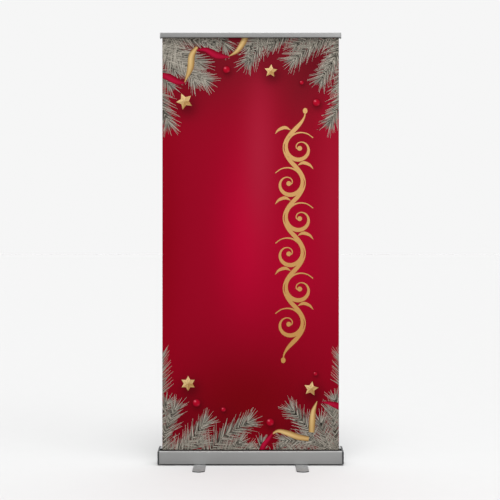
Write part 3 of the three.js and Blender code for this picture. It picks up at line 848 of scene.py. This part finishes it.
pick("FACE", lambda face: between(face, groove_ys, z=rail_low.z))
push(z=groove_depth)
pick("FACE", lambda face: between(face, mouth_ys, z=rail_low.z))
push(z=pocket_floor)
push(z=pocket_top - pocket_floor)
for wall_y, pocket_y in zip(mouth_ys, pocket_ys):
    pick("FACE", lambda face: lies(face, y=wall_y) and
         min(v.co.z for v in face.verts) > rail_low.z + pocket_floor - touching)
    push(y=pocket_y - wall_y)
pick("EDGE", lambda e: (lies(e, y=rail_low.y) or lies(e, y=rail_high.y)) and lies(e, z=rail_high.z) or
     lies(e, y=rail_low.y, z=rail_low.z))
round_off(rail_corner, 8)
done()
chamber = block(
    "chamber", (rail_low.x - past, chamber_ys[0], rail_low.z + chamber_zs[0]),
    (rail_high.x + past, chamber_ys[1], rail_low.z + chamber_zs[1]),
)
combine(rail, chamber, "DIFFERENCE")
soften(rail, 0.0002, angle=50)
place_on(rail, "rail", silver_anodising, "satin_aluminium", "top_rail")
refinish(moulded_white, "hanger_strip")

# ------------------------------------------------------------
# Rail caps. Moulded in light grey, a little larger than the rail all round, with soft edges. Each has
# a spigot that pushes into the rail's chamber.
# ------------------------------------------------------------

moulded_grey = finish(
    "moulded_light_grey", (0.44, 0.44, 0.44), (0.55, 0.55, 0.545), (0.4, 0.55), (800, 800, 800), 0.00003,
    worn=(0.62, 0.62, 0.61),
)
cap_corner, cap_edge, spigot_length = 0.0045, 0.0010, 0.014
for side, sign in both_ends:
    low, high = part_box("rail_cap_" + side)
    face_x, outer_x = rail_high.x + 0.0001, max(abs(low.x), abs(high.x))
    x0, x1 = sorted((sign * face_x, sign * outer_x))
    cap = block("rail_end_" + side, (x0, low.y, low.z), (x1, high.y, high.z))
    edit(cap)
    pick("EDGE", lambda e: any(lies(e, y=y, z=z) for y in (low.y, high.y) for z in (low.z, high.z)))
    round_off(cap_corner, 8)
    pick("EDGE", lambda e: lies(e, x=sign * outer_x))
    round_off(cap_edge, 4)
    done()
    x0, x1 = sorted((sign * (face_x - spigot_length), sign * (face_x + past)))
    spigot = block(
        "spigot", (x0, chamber_ys[0] + fit_gap, rail_low.z + chamber_zs[0] + fit_gap),
        (x1, chamber_ys[1] - fit_gap, rail_low.z + chamber_zs[1] - fit_gap),
    )
    combine(cap, spigot, "UNION")
    soften(cap, 0.00025, angle=50)
    place_on(cap, "rail", moulded_grey, "grey_plastic", "rail_cap_" + side)

# ------------------------------------------------------------
# Banner film. Grey-backed polyester 0.4 mm thick, printed red on its front, with a painted satin sheen
# and a painted highlight down the middle, and a painted shade where it enters the slot. Its top is glued
# to the hanger strip and its bottom winds on the roller.
# ------------------------------------------------------------

film_low, film_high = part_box("banner_film")
film_front, film_rear = film_low.y, film_high.y


def tone(red, green, blue):
    """A colour given in display values from 0 to 255, as linear light."""
    shown = [part / 255 for part in (red, green, blue)]
    return tuple(
        part / 12.92 if part <= 0.04045 else ((part + 0.055) / 1.055) ** 2.4 for part in shown
    )


def mixed(first, second, share):
    """A colour between two others, by how much of the second it holds."""
    share = min(1.0, max(0.0, share))
    return tuple(a + (b - a) * share for a, b in zip(first, second))


def hump(value, centre, width):
    """1 at the centre, falling smoothly to nothing about a width away."""
    return math.exp(-((value - centre) / width) ** 2)


red_ground, red_umber = tone(151, 3, 33), tone(116, 20, 32)
# The satin and bright reds are painted sheen and painted highlight, not inks of the print.
red_painted_sheen, red_deep, red_painted_highlight = tone(170, 28, 54), tone(116, 2, 12), tone(190, 2, 50)
red_edge = tone(140, 0, 22)
# slot_shade is painted shade: the film inside the slot is drawn nearly black.
cast_shadow, slot_shade = tone(62, 4, 10), tone(20, 8, 9)
film_back = tone(176, 177, 178)
shade_edge = 0.001
shadow_aside, shadow_below, shadow_reach = 0.25, 0.62, 1.25
ornament_shadows = []


def ground(x, z):
    """The printed ground's colour at a place on the film, with a painted sheen down the middle and a painted
    shade, nearly black, where the film enters the slot.
    """
    # Painted shade: below the lip the film is drawn nearly black, standing in for the slot's shadow.
    if z < front_lip_z + shade_edge / 2:
        return slot_shade
    colour = mixed(red_ground, red_umber, 0.9 * hump(z, film_high.z, 0.30))
    colour = mixed(colour, red_umber, 0.45 * hump(x, 0.24, 0.10) * hump(z, 1.80, 0.22))
    # Painted highlight and painted sheen: lighter bands down the middle and to the right, standing in for
    # the soft light on the satin film.
    colour = mixed(colour, red_painted_highlight, 0.75 * hump(x, -0.02, 0.13) * hump(z, 1.12, 0.42))
    colour = mixed(colour, red_painted_highlight, 0.4 * hump(x, 0.22, 0.16) * hump(z, 0.98, 0.30))
    colour = mixed(colour, red_painted_sheen, 0.85 * hump(x, 0.045, 0.075) * hump(z, 1.50, 0.38))
    colour = mixed(colour, red_painted_sheen, 0.45 * hump(x, 0.40, 0.08) * hump(z, 1.30, 0.40))
    colour = mixed(colour, red_deep, 0.95 * hump(z, 0.28, 0.30) * hump(x, -0.02, 0.42))
    colour = mixed(colour, red_edge, 0.9 * hump(x, film_low.x, 0.09) * hump(z, 1.10, 0.75))
    for shadow_x, shadow_z, radius, depth in ornament_shadows:
        away = math.hypot(x - shadow_x, z - shadow_z)
        colour = mixed(colour, cast_shadow, depth * hump(away, 0, radius))
    return colour


# middle (x, z), radius, number of points and tilt in degrees of each star
stars = [
    (-0.318, 1.744, 0.041, 5, 23), (0.097, 1.890, 0.032, 5, -5),
    (0.291, 0.360, 0.036, 5, -10), (-0.301, 0.385, 0.036, 6, 0),
]
# middle (x, z) and radius of each bauble
baubles = [
    (-0.116, 1.897, 0.019), (0.246, 1.834, 0.011), (0.317, 1.738, 0.020), (-0.261, 0.292, 0.020),
    (-0.131, 0.260, 0.012), (0.094, 0.199, 0.020), (0.312, 0.432, 0.011),
]
for x, z, size, *rest in stars + baubles:
    ornament_shadows.append((x + shadow_aside * size, z - shadow_below * size, shadow_reach * size, 0.62))
# middle (x, z) and radius of the fir's shadows
fir_shadows = [
    (-0.30, 1.94, 0.17), (0.03, 1.99, 0.10), (0.34, 1.93, 0.15), (-0.38, 0.20, 0.15),
    (-0.12, 0.12, 0.12), (0.33, 0.17, 0.16), (0.20, 0.10, 0.10),
]
for x, z, radius in fir_shadows:
    ornament_shadows.append((x, z, radius, 0.45))

film = block("printed_film", (film_low.x, film_front, film_low.z), (film_high.x, film_rear, film_high.z))
edit(film)
cells_x, cells_z = 85, 200
for count, axis in ((cells_x, 0), (cells_z, 2)):
    for cell in range(1, count):
        place = film_low.lerp(film_high, cell / count)
        bpy.ops.mesh.select_all(action="SELECT")
        bpy.ops.mesh.bisect(plane_co=place, plane_no=(axis == 0, 0, axis == 2))
for level in (front_lip_z, front_lip_z + shade_edge):
    bpy.ops.mesh.select_all(action="SELECT")
    bpy.ops.mesh.bisect(plane_co=(0, 0, level), plane_no=(0, 0, 1))
done()
printed = film.data.color_attributes.new(name="ink", type="FLOAT_COLOR", domain="POINT")
for vertex, ink in zip(film.data.vertices, printed.data):
    on_front = vertex.co.y < (film_front + film_rear) / 2
    ink.color = (*(ground(vertex.co.x, vertex.co.z) if on_front else film_back), 1)


ink_strength, ink_gloss, speck_gold = 1.17, 0.05, (0.9, 0.8, 0.55)


def print_finish(name, metallic, rough, glitter, mottle_scale, mottle_depth, bump):
    """Ink from the piece's own colours, darkened and lightened a little by a fine mottle and, where
    it glitters, specked with pale gold."""
    made, shading, shader = new_material(name, metallic)
    shader.inputs["Specular IOR Level"].default_value = ink_gloss
    ink = shading.node("ShaderNodeAttribute", attribute_name="ink")
    marks = shading.node("ShaderNodeGroup", node_tree=grain)
    marks.inputs["Stretch"].default_value = mottle_scale
    darkest, lightest = ink_strength * (1 - mottle_depth), ink_strength * (1 + mottle_depth)
    scaled = shading.node("ShaderNodeVectorMath", operation="SCALE")
    shading.join(ink.outputs["Color"], scaled.inputs[0])
    shading.join(shading.spread(marks.outputs["Grain"], darkest, lightest, 0.3, 0.7), scaled.inputs["Scale"])
    speck = shading.maths("MULTIPLY", marks.outputs["Specks"], glitter)
    colour = shading.blend(speck, scaled.outputs["Vector"], speck_gold)
    shading.join(colour, shader.inputs["Base Color"])
    shading.join(shading.spread(marks.outputs["Grain"], *rough), shader.inputs["Roughness"])
    shading.emboss(marks.outputs["Grain"], bump, shader)
    return made


film_print = print_finish("film_print", 0.0, (0.42, 0.6), 0.0, (900, 900, 900), 0.05, 0.00002)
place_on(film, "base", film_print, "printed_film", "banner_film")


def roll_up(piece):
    """The film between rail and roller shortens as the rail comes down; here the piece only gets its own
    copy of its mesh.
    """
    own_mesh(piece)


roll_up(film)


ink_inset, ink_thickness = 0.0004, 0.00002


class Ink:
    """Flat shapes printed one over another, each a little nearer the front than the one before."""

    def __init__(self, name, first_layer, last_layer, expected):
        self.name = name
        self.mesh = bmesh.new()
        self.colour = self.mesh.verts.layers.float_color.new("ink")
        self.near, self.far = first_layer, last_layer
        self.count, self.expected = 0, expected

    def depth(self):
        """The place along Y of the next shape."""
        share = min(1.0, self.count / self.expected)
        return film_front - self.near - (self.far - self.near) * share

    def shape(self, points, colours):
        """One shape: its corners in order seen from the front, and a colour for all or for each."""
        y = self.depth()
        corners = []
        for number, (x, z) in enumerate(points):
            corner = self.mesh.verts.new((x, y, z))
            corner[self.colour] = (*(colours[number] if isinstance(colours[0], tuple) else colours), 1)
            corners.append(corner)
        self.mesh.faces.new(corners)
        self.count += 1

    def strip(self, left, right, left_colours, right_colours):
        """A run of quads between two edges of points, each edge with its own inks."""
        y = self.depth()
        rows = []
        for pair in zip(left, right, left_colours, right_colours):
            row = []
            for (x, z), colour in zip(pair[:2], pair[2:]):
                corner = self.mesh.verts.new((x, y, z))
                corner[self.colour] = (*colour, 1)
                row.append(corner)
            rows.append(row)
        for (a, b), (d, c) in zip(rows, rows[1:]):
            if (a.co - c.co).length > 1e-7:
                self.mesh.faces.new((a, b, c, d))
        self.count += 1

    def finish(self, material):
        """Trims the shapes to the film, gives them the ink's thickness and prints them on it."""
        mesh = self.mesh
        limits = [
            ((film_low.x + ink_inset, 0, 0), (-1, 0, 0)), ((film_high.x - ink_inset, 0, 0), (1, 0, 0)),
            ((0, 0, front_lip_z), (0, 0, -1)), ((0, 0, rail_low.z + 0.001), (0, 0, 1)),
        ]
        for place, outward in limits:
            parts = mesh.verts[:] + mesh.edges[:] + mesh.faces[:]
            bmesh.ops.bisect_plane(mesh, geom=parts, plane_co=place, plane_no=outward, clear_outer=True)
        bmesh.ops.dissolve_degenerate(mesh, edges=mesh.edges[:], dist=1e-6)
        loose = [v for v in mesh.verts if not v.link_faces]
        bmesh.ops.delete(mesh, geom=loose, context="VERTS")
        wrong = [face for face in mesh.faces if face.normal.y > 0]
        bmesh.ops.reverse_faces(mesh, faces=wrong)
        data = bpy.data.meshes.new(self.name)
        mesh.to_mesh(data)
        mesh.free()
        piece = bpy.data.objects.new(self.name, data)
        bpy.context.scene.collection.objects.link(piece)
        modify(piece, "SOLIDIFY", thickness=ink_thickness, offset=-1)
        place_on(piece, "base", material, "printed_film")
        roll_up(piece)
        return piece


def curve_through(points, steps):
    """Evenly numbered points on a smooth curve through the given ones."""
    ends = [points[0]] + list(points) + [points[-1]]
    curve = []
    for a, b, c, d in zip(ends, ends[1:], ends[2:], ends[3:]):
        for step in range(steps):
            t = step / steps
            curve.append(tuple(
                0.5 * (2 * q + (r - p) * t + (2 * p - 5 * q + 4 * r - s) * t * t
                       + (3 * q - p - 3 * r + s) * t ** 3)
                for p, q, r, s in zip(a, b, c, d)
            ))
    return curve + [tuple(points[-1])]


def sides_of(path, widths):
    """The two edges of a band of changing width along a path."""
    left, right = [], []
    for number, (x, z) in enumerate(path):
        before, after = path[max(0, number - 1)], path[min(len(path) - 1, number + 1)]
        run = Vector((after[0] - before[0], after[1] - before[1])).normalized()
        half = widths[number] / 2
        left.append((x - run.y * half, z + run.x * half))
        right.append((x + run.y * half, z - run.x * half))
    return left, right


def band_through(points, widths, steps):
    """A smooth path through points, and the two edges of a band along it with the widths given there."""
    curve = curve_through([(*place, width) for place, width in zip(points, widths)], steps)
    path = [(x, z) for x, z, width in curve]
    return path, *sides_of(path, [width for x, z, width in curve])


# ------------------------------------------------------------
# Printed fir. Frosted fir sprays reach in from the film's edges. Each is a stem set with straight
# tapered needles in three inks: dark ones first, grey-green ones over them and pale ones on top.
# ------------------------------------------------------------

ink_print = print_finish("ink_print", 0.0, (0.45, 0.62), 0.0, (700, 700, 700), 0.08, 0.00001)
fir_dark, fir_shade = tone(26, 20, 20), tone(68, 64, 58)
fir_grey, fir_frost = tone(126, 122, 111), tone(192, 184, 171)
# root, tip and sideways bow of each spray, and its needles' length
sprays = [
    ((-0.445, 2.070), (-0.225, 1.850), 0.09, 0.085), ((-0.440, 2.000), (-0.275, 1.850), -0.12, 0.080),
    ((-0.400, 2.075), (-0.250, 1.930), 0.12, 0.085), ((-0.450, 2.020), (-0.370, 1.900), 0.0, 0.085),
    ((-0.400, 2.065), (-0.190, 2.020), 0.0, 0.070), ((-0.165, 2.090), (-0.120, 2.015), 0.0, 0.070),
    ((-0.260, 2.085), (-0.180, 2.030), 0.0, 0.060), ((-0.450, 1.900), (-0.395, 1.830), 0.0, 0.070),
    ((-0.455, 1.800), (-0.402, 1.650), 0.0, 0.085), ((0.150, 2.090), (-0.005, 1.945), 0.09, 0.085),
    ((0.080, 2.085), (0.000, 2.010), 0.0, 0.080), ((0.210, 2.085), (0.105, 2.020), 0.0, 0.075),
    ((0.400, 2.060), (0.215, 1.950), 0.06, 0.085), ((0.330, 2.080), (0.230, 2.020), 0.0, 0.080),
    ((0.430, 2.070), (0.345, 1.860), -0.09, 0.085), ((0.450, 2.040), (0.390, 1.930), 0.0, 0.080),
    ((0.460, 1.920), (0.425, 1.820), 0.0, 0.070), ((0.460, 1.830), (0.388, 1.655), -0.06, 0.085),
    ((-0.448, 0.320), (-0.440, 0.500), 0.0, 0.085), ((-0.430, 0.030), (-0.368, 0.255), -0.06, 0.085),
    ((-0.450, 0.180), (-0.410, 0.280), 0.0, 0.070), ((-0.420, 0.020), (-0.225, 0.190), 0.06, 0.085),
    ((-0.360, 0.020), (-0.250, 0.100), 0.0, 0.080), ((-0.230, 0.030), (-0.020, 0.195), -0.06, 0.090),
    ((-0.180, 0.030), (-0.060, 0.095), 0.0, 0.080), ((-0.110, 0.030), (-0.010, 0.070), 0.0, 0.060),
    ((0.030, 0.030), (0.050, 0.100), 0.0, 0.050), ((0.110, 0.030), (0.140, 0.075), 0.0, 0.050),
    ((0.300, 0.120), (0.205, 0.250), 0.06, 0.080), ((0.310, 0.110), (0.170, 0.110), 0.0, 0.070),
    ((0.330, 0.030), (0.200, 0.060), 0.0, 0.070), ((0.440, 0.040), (0.290, 0.110), 0.0, 0.080),
    ((0.380, 0.030), (0.340, 0.190), 0.0, 0.080), ((0.420, 0.050), (0.392, 0.250), 0.0, 0.080),
    ((0.450, 0.180), (0.410, 0.300), 0.0, 0.070), ((0.452, 0.360), (0.440, 0.500), 0.0, 0.075),
]
# each layer's darkest and palest ink, needle width, spacing along the stem, length and scatter of lean
needle_layers = (
    (fir_dark, fir_shade, 0.0046, 0.0034, (0.45, 0.72), 15),
    (fir_shade, fir_grey, 0.0028, 0.0080, (0.60, 0.92), 13),
    (fir_grey, fir_frost, 0.0029, 0.0120, (0.95, 1.22), 8),
)
root_lean, tip_lean, fan_length, needle_taper = 50, 32, 0.035, 0.35
growth = random.Random(7)
fir = Ink("fir_print", 0.00004, 0.00026, 6000)


def needle(x, z, heading, size, width, ink):
    """One straight needle that narrows and pales towards its tip."""
    path = [(x, z), (x + size * math.cos(heading), z + size * math.sin(heading))]
    left, right = sides_of(path, [width, needle_taper * width])
    inks = [ink, mixed(ink, fir_frost, 0.30)]
    fir.strip(left, right, inks, inks)


for darkest, palest, width, spacing, (shortest, longest), scatter in needle_layers:
    for root, tip, bow, reach in sprays:
        middle = ((root[0] + tip[0]) / 2 + (tip[1] - root[1]) * bow,
                  (root[1] + tip[1]) / 2 - (tip[0] - root[0]) * bow)
        stem = curve_through([root, middle, tip], 24)
        length = sum(math.dist(a, b) for a, b in zip(stem, stem[1:]))
        rows, fan = round(length / spacing), round(fan_length / spacing)
        for row in range(rows + fan):
            share = min(1.0, (row + growth.random()) / rows)
            at = min(len(stem) - 2, int(share * (len(stem) - 1)))
            run = math.atan2(stem[at + 1][1] - stem[at][1], stem[at + 1][0] - stem[at][0])
            closing = max(0.0, (row - rows) / fan)
            for side in (-1, 1):
                lean = root_lean - (root_lean - tip_lean) * share
                lean = math.radians(lean * (1 - closing) + growth.uniform(-scatter, scatter))
                size = reach * growth.uniform(shortest, longest) * (1 - 0.12 * share)
                ink = mixed(darkest, palest, growth.uniform(0.1, 1.0))
                needle(*stem[at], run + side * lean, size, width, ink)
fir_piece = fir.finish(ink_print)

# ------------------------------------------------------------
# Printed ribbons. Gold and crimson bands that curl among the fir, shaded along their length where they
# turn to and from the light.
# ------------------------------------------------------------

gold_dark, gold_mid, gold_light = tone(112, 76, 38), tone(172, 130, 72), tone(222, 188, 128)
crimson_dark, crimson_mid, crimson_light = tone(92, 2, 20), tone(148, 4, 36), tone(178, 18, 56)
gold_inks, crimson_inks = (gold_dark, gold_mid, gold_light), (crimson_dark, crimson_mid, crimson_light)
# points along the middle of each ribbon, the widths at them, and its three inks
ribbons = [
    ([(-0.258, 2.006), (-0.283, 1.965), (-0.290, 1.905), (-0.318, 1.835)],
     [0.014, 0.030, 0.031, 0.003], gold_inks),
    ([(-0.022, 2.060), (-0.040, 2.020), (-0.066, 1.985), (-0.106, 1.960)],
     [0.030, 0.028, 0.020, 0.002], gold_inks),
    ([(0.094, 0.135), (0.132, 0.156), (0.178, 0.146), (0.228, 0.128), (0.280, 0.118)],
     [0.003, 0.016, 0.026, 0.028, 0.022], gold_inks),
    ([(0.320, 0.300), (0.303, 0.255), (0.297, 0.205), (0.293, 0.150)],
     [0.003, 0.022, 0.030, 0.028], gold_inks),
    ([(-0.262, 1.990), (-0.215, 1.992), (-0.160, 1.965), (-0.098, 1.956)],
     [0.003, 0.024, 0.034, 0.004], crimson_inks),
    ([(-0.440, 1.872), (-0.400, 1.862), (-0.350, 1.838), (-0.315, 1.832)],
     [0.022, 0.034, 0.030, 0.004], crimson_inks),
    ([(0.108, 0.150), (0.088, 0.120), (0.062, 0.085), (0.048, 0.040)],
     [0.003, 0.020, 0.026, 0.028], crimson_inks),
    ([(0.340, 0.296), (0.372, 0.292), (0.400, 0.284), (0.440, 0.270)],
     [0.003, 0.016, 0.028, 0.034], crimson_inks),
]
ribbon = Ink("ribbon_print", 0.00032, 0.00036, 80)
bands_across = 6
for points, widths, (dark, mid, light) in ribbons:
    path, left, right = band_through(points, widths, 12)

    def sheen(across, along):
        """The ribbon's ink: light where it faces forwards, dark at its turning edges."""
        lit = hump(across, 0.42 + 0.2 * math.sin(3 * along), 0.34)
        glow = lit * (0.55 + 0.45 * hump(along, 0.45, 0.3))
        return mixed(mixed(mid, dark, 0.75 * abs(2 * across - 1) ** 2), light, glow)

    for band in range(bands_across):
        edges, inks = [], []
        for share in (band / bands_across, (band + 1) / bands_across):
            edges.append([(a[0] + (b[0] - a[0]) * share, a[1] + (b[1] - a[1]) * share)
                          for a, b in zip(left, right)])
            inks.append([sheen(share, number / (len(path) - 1)) for number in range(len(path))])
        ribbon.strip(*edges, *inks)
ribbon_piece = ribbon.finish(ink_print)

# ------------------------------------------------------------
# Printed baubles. Small glossy red balls, drawn as discs that darken to their rims, with a soft light
# above and a faint reflection below.
# ------------------------------------------------------------

bauble_rim, bauble_body, bauble_glow = tone(98, 2, 16), tone(176, 8, 38), tone(238, 118, 138)
bauble = Ink("bauble_print", 0.00040, 0.00042, 70)
bauble_rings = [0.0, 0.2, 0.4, 0.6, 0.8, 1.0]
around = 28


def glaze(px, pz):
    """A ball's ink at a place given in radii from its middle."""
    away = math.hypot(px, pz)
    highlight = math.exp(-((px + 0.32) ** 2 + (pz - 0.38) ** 2) / 0.035)
    reflection = math.exp(-((px - 0.45) ** 2 + (pz + 0.45) ** 2) / 0.04)
    colour = mixed(bauble_body, bauble_rim, away ** 4)
    colour = mixed(colour, bauble_rim, 0.5 * max(0.0, -pz) * away)
    colour = mixed(colour, bauble_glow, 0.9 * highlight)
    return mixed(colour, bauble_glow, 0.10 * reflection)


for x, z, radius in baubles:
    for rings in zip(bauble_rings, bauble_rings[1:]):
        edges, inks = [], []
        for share in rings:
            turns = [2 * math.pi * spot / around for spot in range(around + 1)]
            spots = [(share * math.cos(turn), share * math.sin(turn)) for turn in turns]
            edges.append([(x + radius * px, z + radius * pz) for px, pz in spots])
            inks.append([glaze(px, pz) for px, pz in spots])
        bauble.strip(*edges, *inks)
bauble_gloss = print_finish("bauble_gloss", 0.0, (0.22, 0.34), 0.0, (500, 500, 500), 0.04, 0.00001)
bauble_piece = bauble.finish(bauble_gloss)

# ------------------------------------------------------------
# Printed stars. Gold glitter stars with five or six points, shaded as folded card: one half of each
# point catches the light.
# ------------------------------------------------------------

glitter_gold = print_finish("glitter_gold", 0.25, (0.3, 0.6), 0.35, (420, 420, 420), 0.28, 0.00006)
card_shade, card_light = tone(186, 142, 84), tone(240, 206, 146)
star_waists = {5: 0.50, 6: 0.58}
star = Ink("star_print", 0.00046, 0.00048, 60)
for x, z, radius, points, tilt in stars:
    outline = []
    for corner in range(2 * points):
        angle = math.radians(90 + tilt) + math.pi * corner / points
        away = radius if corner % 2 == 0 else radius * star_waists[points]
        outline.append((x + away * math.cos(angle), z + away * math.sin(angle)))
    for corner, here in enumerate(outline):
        after = outline[(corner + 1) % len(outline)]
        facing = math.atan2((here[1] + after[1]) / 2 - z, (here[0] + after[0]) / 2 - x)
        share = 0.5 + 0.5 * math.cos(facing - math.radians(120)) + (0.16 if corner % 2 else -0.12)
        colour = mixed(card_shade, card_light, share)
        star.shape([(x, z), here, after], [mixed(colour, gold_dark, 0.25), colour, colour])
star_piece = star.finish(glitter_gold)

# ------------------------------------------------------------
# Printed scrollwork. A running scroll in gold down the right side: a thick and thin wave with a curl
# in each bend, a leaf where each curl leaves the wave, and a drop at both ends.
# ------------------------------------------------------------

scroll_gold = print_finish("scroll_gold", 0.3, (0.34, 0.5), 0.05, (300, 300, 300), 0.08, 0.00001)
scroll = Ink("scroll_print", 0.00052, 0.00054, 90)
scroll_x, scroll_top, scroll_bottom, scroll_half = 0.210, 1.690, 0.505, 0.088
wave_reach, heart_reach, leaf_reach = 0.60 * scroll_half, 0.30 * scroll_half, 0.20 * scroll_half
gold_low, gold_high = tone(204, 150, 84), tone(222, 174, 112)
bends, wave_steps, curl_steps = 7, 12, 22
curl_turns, curl_start, curl_core, curl_reach = 1.45, math.pi / 2 - 0.9, 0.010, 0.072
pitch = (scroll_top - scroll_bottom) / bends


def gold_at(z):
    """The scroll's ink, which pales from its foot to its head."""
    return mixed(gold_low, gold_high, (z - scroll_bottom) / (scroll_top - scroll_bottom))


def pen(points, widths, steps=10):
    """A pen stroke through points, swelling and thinning with its widths."""
    path, left, right = band_through(points, widths, steps)
    inks = [gold_at(z) for x, z in path]
    scroll.strip(left, right, inks, inks)


def drop(x, z, radius, stretch=1.0):
    """A round or upright oval dot."""
    turns = [2 * math.pi * corner / 28 for corner in range(28)]
    ring = [(x + radius * math.cos(turn), z + stretch * radius * math.sin(turn)) for turn in turns]
    scroll.shape(ring, gold_at(z))


wave, swell = [], []
for step in range(bends * wave_steps + 1):
    along = step / wave_steps
    wave.append((scroll_x + wave_reach * math.cos(math.pi * along), scroll_top - pitch * along))
    swell.append(0.0050 + 0.0150 * abs(math.sin(math.pi * along)) ** 2)
pen(wave, swell, steps=3)
for bend in range(1, bends):
    side = 1 if bend % 2 == 0 else -1
    heart_x, heart_z = scroll_x - side * heart_reach, scroll_top - pitch * (bend + 0.02)
    curl, widths = [], []
    for step in range(curl_steps + 1):
        share = step / curl_steps
        away = curl_reach * (1 - share) ** 0.85 + curl_core
        angle = curl_start + curl_turns * 2 * math.pi * share
        curl.append((heart_x + side * away * math.cos(angle + math.pi), heart_z + away * math.sin(angle)))
        full = 0.0150 * math.sin(math.pi * min(1, share * 1.25)) ** 2
        widths.append(0.0045 + full if share < 0.8 else 0.005)
    pen(curl, widths, steps=4)
    drop(heart_x, heart_z, 0.0115)
    leaf_x, leaf_z = scroll_x + side * leaf_reach, scroll_top - pitch * (bend - 0.5)
    pen([(leaf_x, leaf_z), (leaf_x + side * 0.026, leaf_z + 0.012), (leaf_x + side * 0.056, leaf_z + 0.002),
         (leaf_x + side * 0.074, leaf_z - 0.018)], [0.002, 0.015, 0.012, 0.0015])
drop(scroll_x + wave_reach, scroll_top + 0.008, 0.011, 1.25)
drop(scroll_x - wave_reach, scroll_bottom - 0.008, 0.011, 1.25)
scroll_piece = scroll.finish(scroll_gold)

# ------------------------------------------------------------
# Studio. A pale seamless floor, a broad soft light from above and in front, a weaker one from the
# right, a small panel beyond the rail's right end, and a camera straight in front at chest height.
# ------------------------------------------------------------

def split_view(shading, seen, unseen, output):
    """Shows one shader to the camera, and lets another act on the light that reaches the pieces."""
    path = shading.node("ShaderNodeLightPath")
    either = shading.node("ShaderNodeMixShader")
    shading.join(path.outputs["Is Camera Ray"], either.inputs["Fac"])
    shading.join(unseen, either.inputs[1])
    shading.join(seen, either.inputs[2])
    shading.join(either.outputs["Shader"], output.inputs["Surface"])


bpy.ops.mesh.primitive_plane_add(size=400, location=(0, 0, 0))
floor = added("studio_floor")
floor_paper = finish(
    "floor_paper", (0.585, 0.585, 0.585), (0.605, 0.605, 0.605), (0.8, 0.9), (30, 30, 30), 0.00001,
)
paper = Shading(floor_paper.node_tree)
paper_shader = floor_paper.node_tree.nodes["Principled BSDF"]
paper_shader.inputs["Specular IOR Level"].default_value = 0.0
dim = paper.node("ShaderNodeBsdfDiffuse")
dim.inputs["Color"].default_value = (0.24, 0.24, 0.24, 1)
split_view(paper, paper_shader.outputs["BSDF"], dim.outputs["BSDF"],
           floor_paper.node_tree.nodes["Material Output"])
floor.data.materials.append(floor_paper)

world = bpy.data.worlds.new("studio")
bpy.context.scene.world = world
world.use_nodes = True
air = Shading(world.node_tree)
backdrop = world.node_tree.nodes["Background"]
backdrop.inputs["Color"].default_value = (0.921, 0.921, 0.921, 1)
backdrop.inputs["Strength"].default_value = 1.0
fill = air.node("ShaderNodeBackground")
toward = air.node("ShaderNodeTexCoord")
parts = air.node("ShaderNodeSeparateXYZ")
air.join(toward.outputs["Generated"], parts.inputs["Vector"])
height = air.spread(parts.outputs["Z"], 0.30, 1.05, -0.1, 0.9)
sideways = air.spread(parts.outputs["X"], -0.10, 0.16, -1, 1)
fill.inputs["Color"].default_value = (1, 1, 1, 1)
air.join(air.maths("ADD", height, sideways), fill.inputs["Strength"])
split_view(air, backdrop.outputs["Background"], fill.outputs["Background"],
           world.node_tree.nodes["World Output"])


def sun(name, strength, angle, pitch, turn):
    """A distant soft light: pitch tips it forwards from straight down, and turn swings it round."""
    bpy.ops.object.light_add(type="SUN", rotation=(math.radians(pitch), 0, math.radians(turn)))
    light = bpy.context.object
    light.name = name
    light.data.energy = strength
    light.data.angle = math.radians(angle)


sun("key_light", 2.0, 30, 20, 0)
sun("side_light", 0.25, 30, 50, 60)
panel_place, panel_aim = Vector((1.5, -1.1, 2.35)), Vector((0.30, 0, 2.06))
bpy.ops.object.light_add(type="AREA", location=panel_place)
panel = bpy.context.object
panel.rotation_euler = (panel_place - panel_aim).to_track_quat("Z", "Y").to_euler()
panel.data.size = 0.5
panel.data.energy = 5

camera_place = (-0.003, -4.0025, 1.028)
bpy.ops.object.camera_add(location=camera_place, rotation=(math.radians(90), 0, 0))
camera = bpy.context.object
camera.data.sensor_width = 36
camera.data.lens = 59.8
bpy.context.scene.camera = camera
bpy.context.scene.view_settings.view_transform = "Standard"
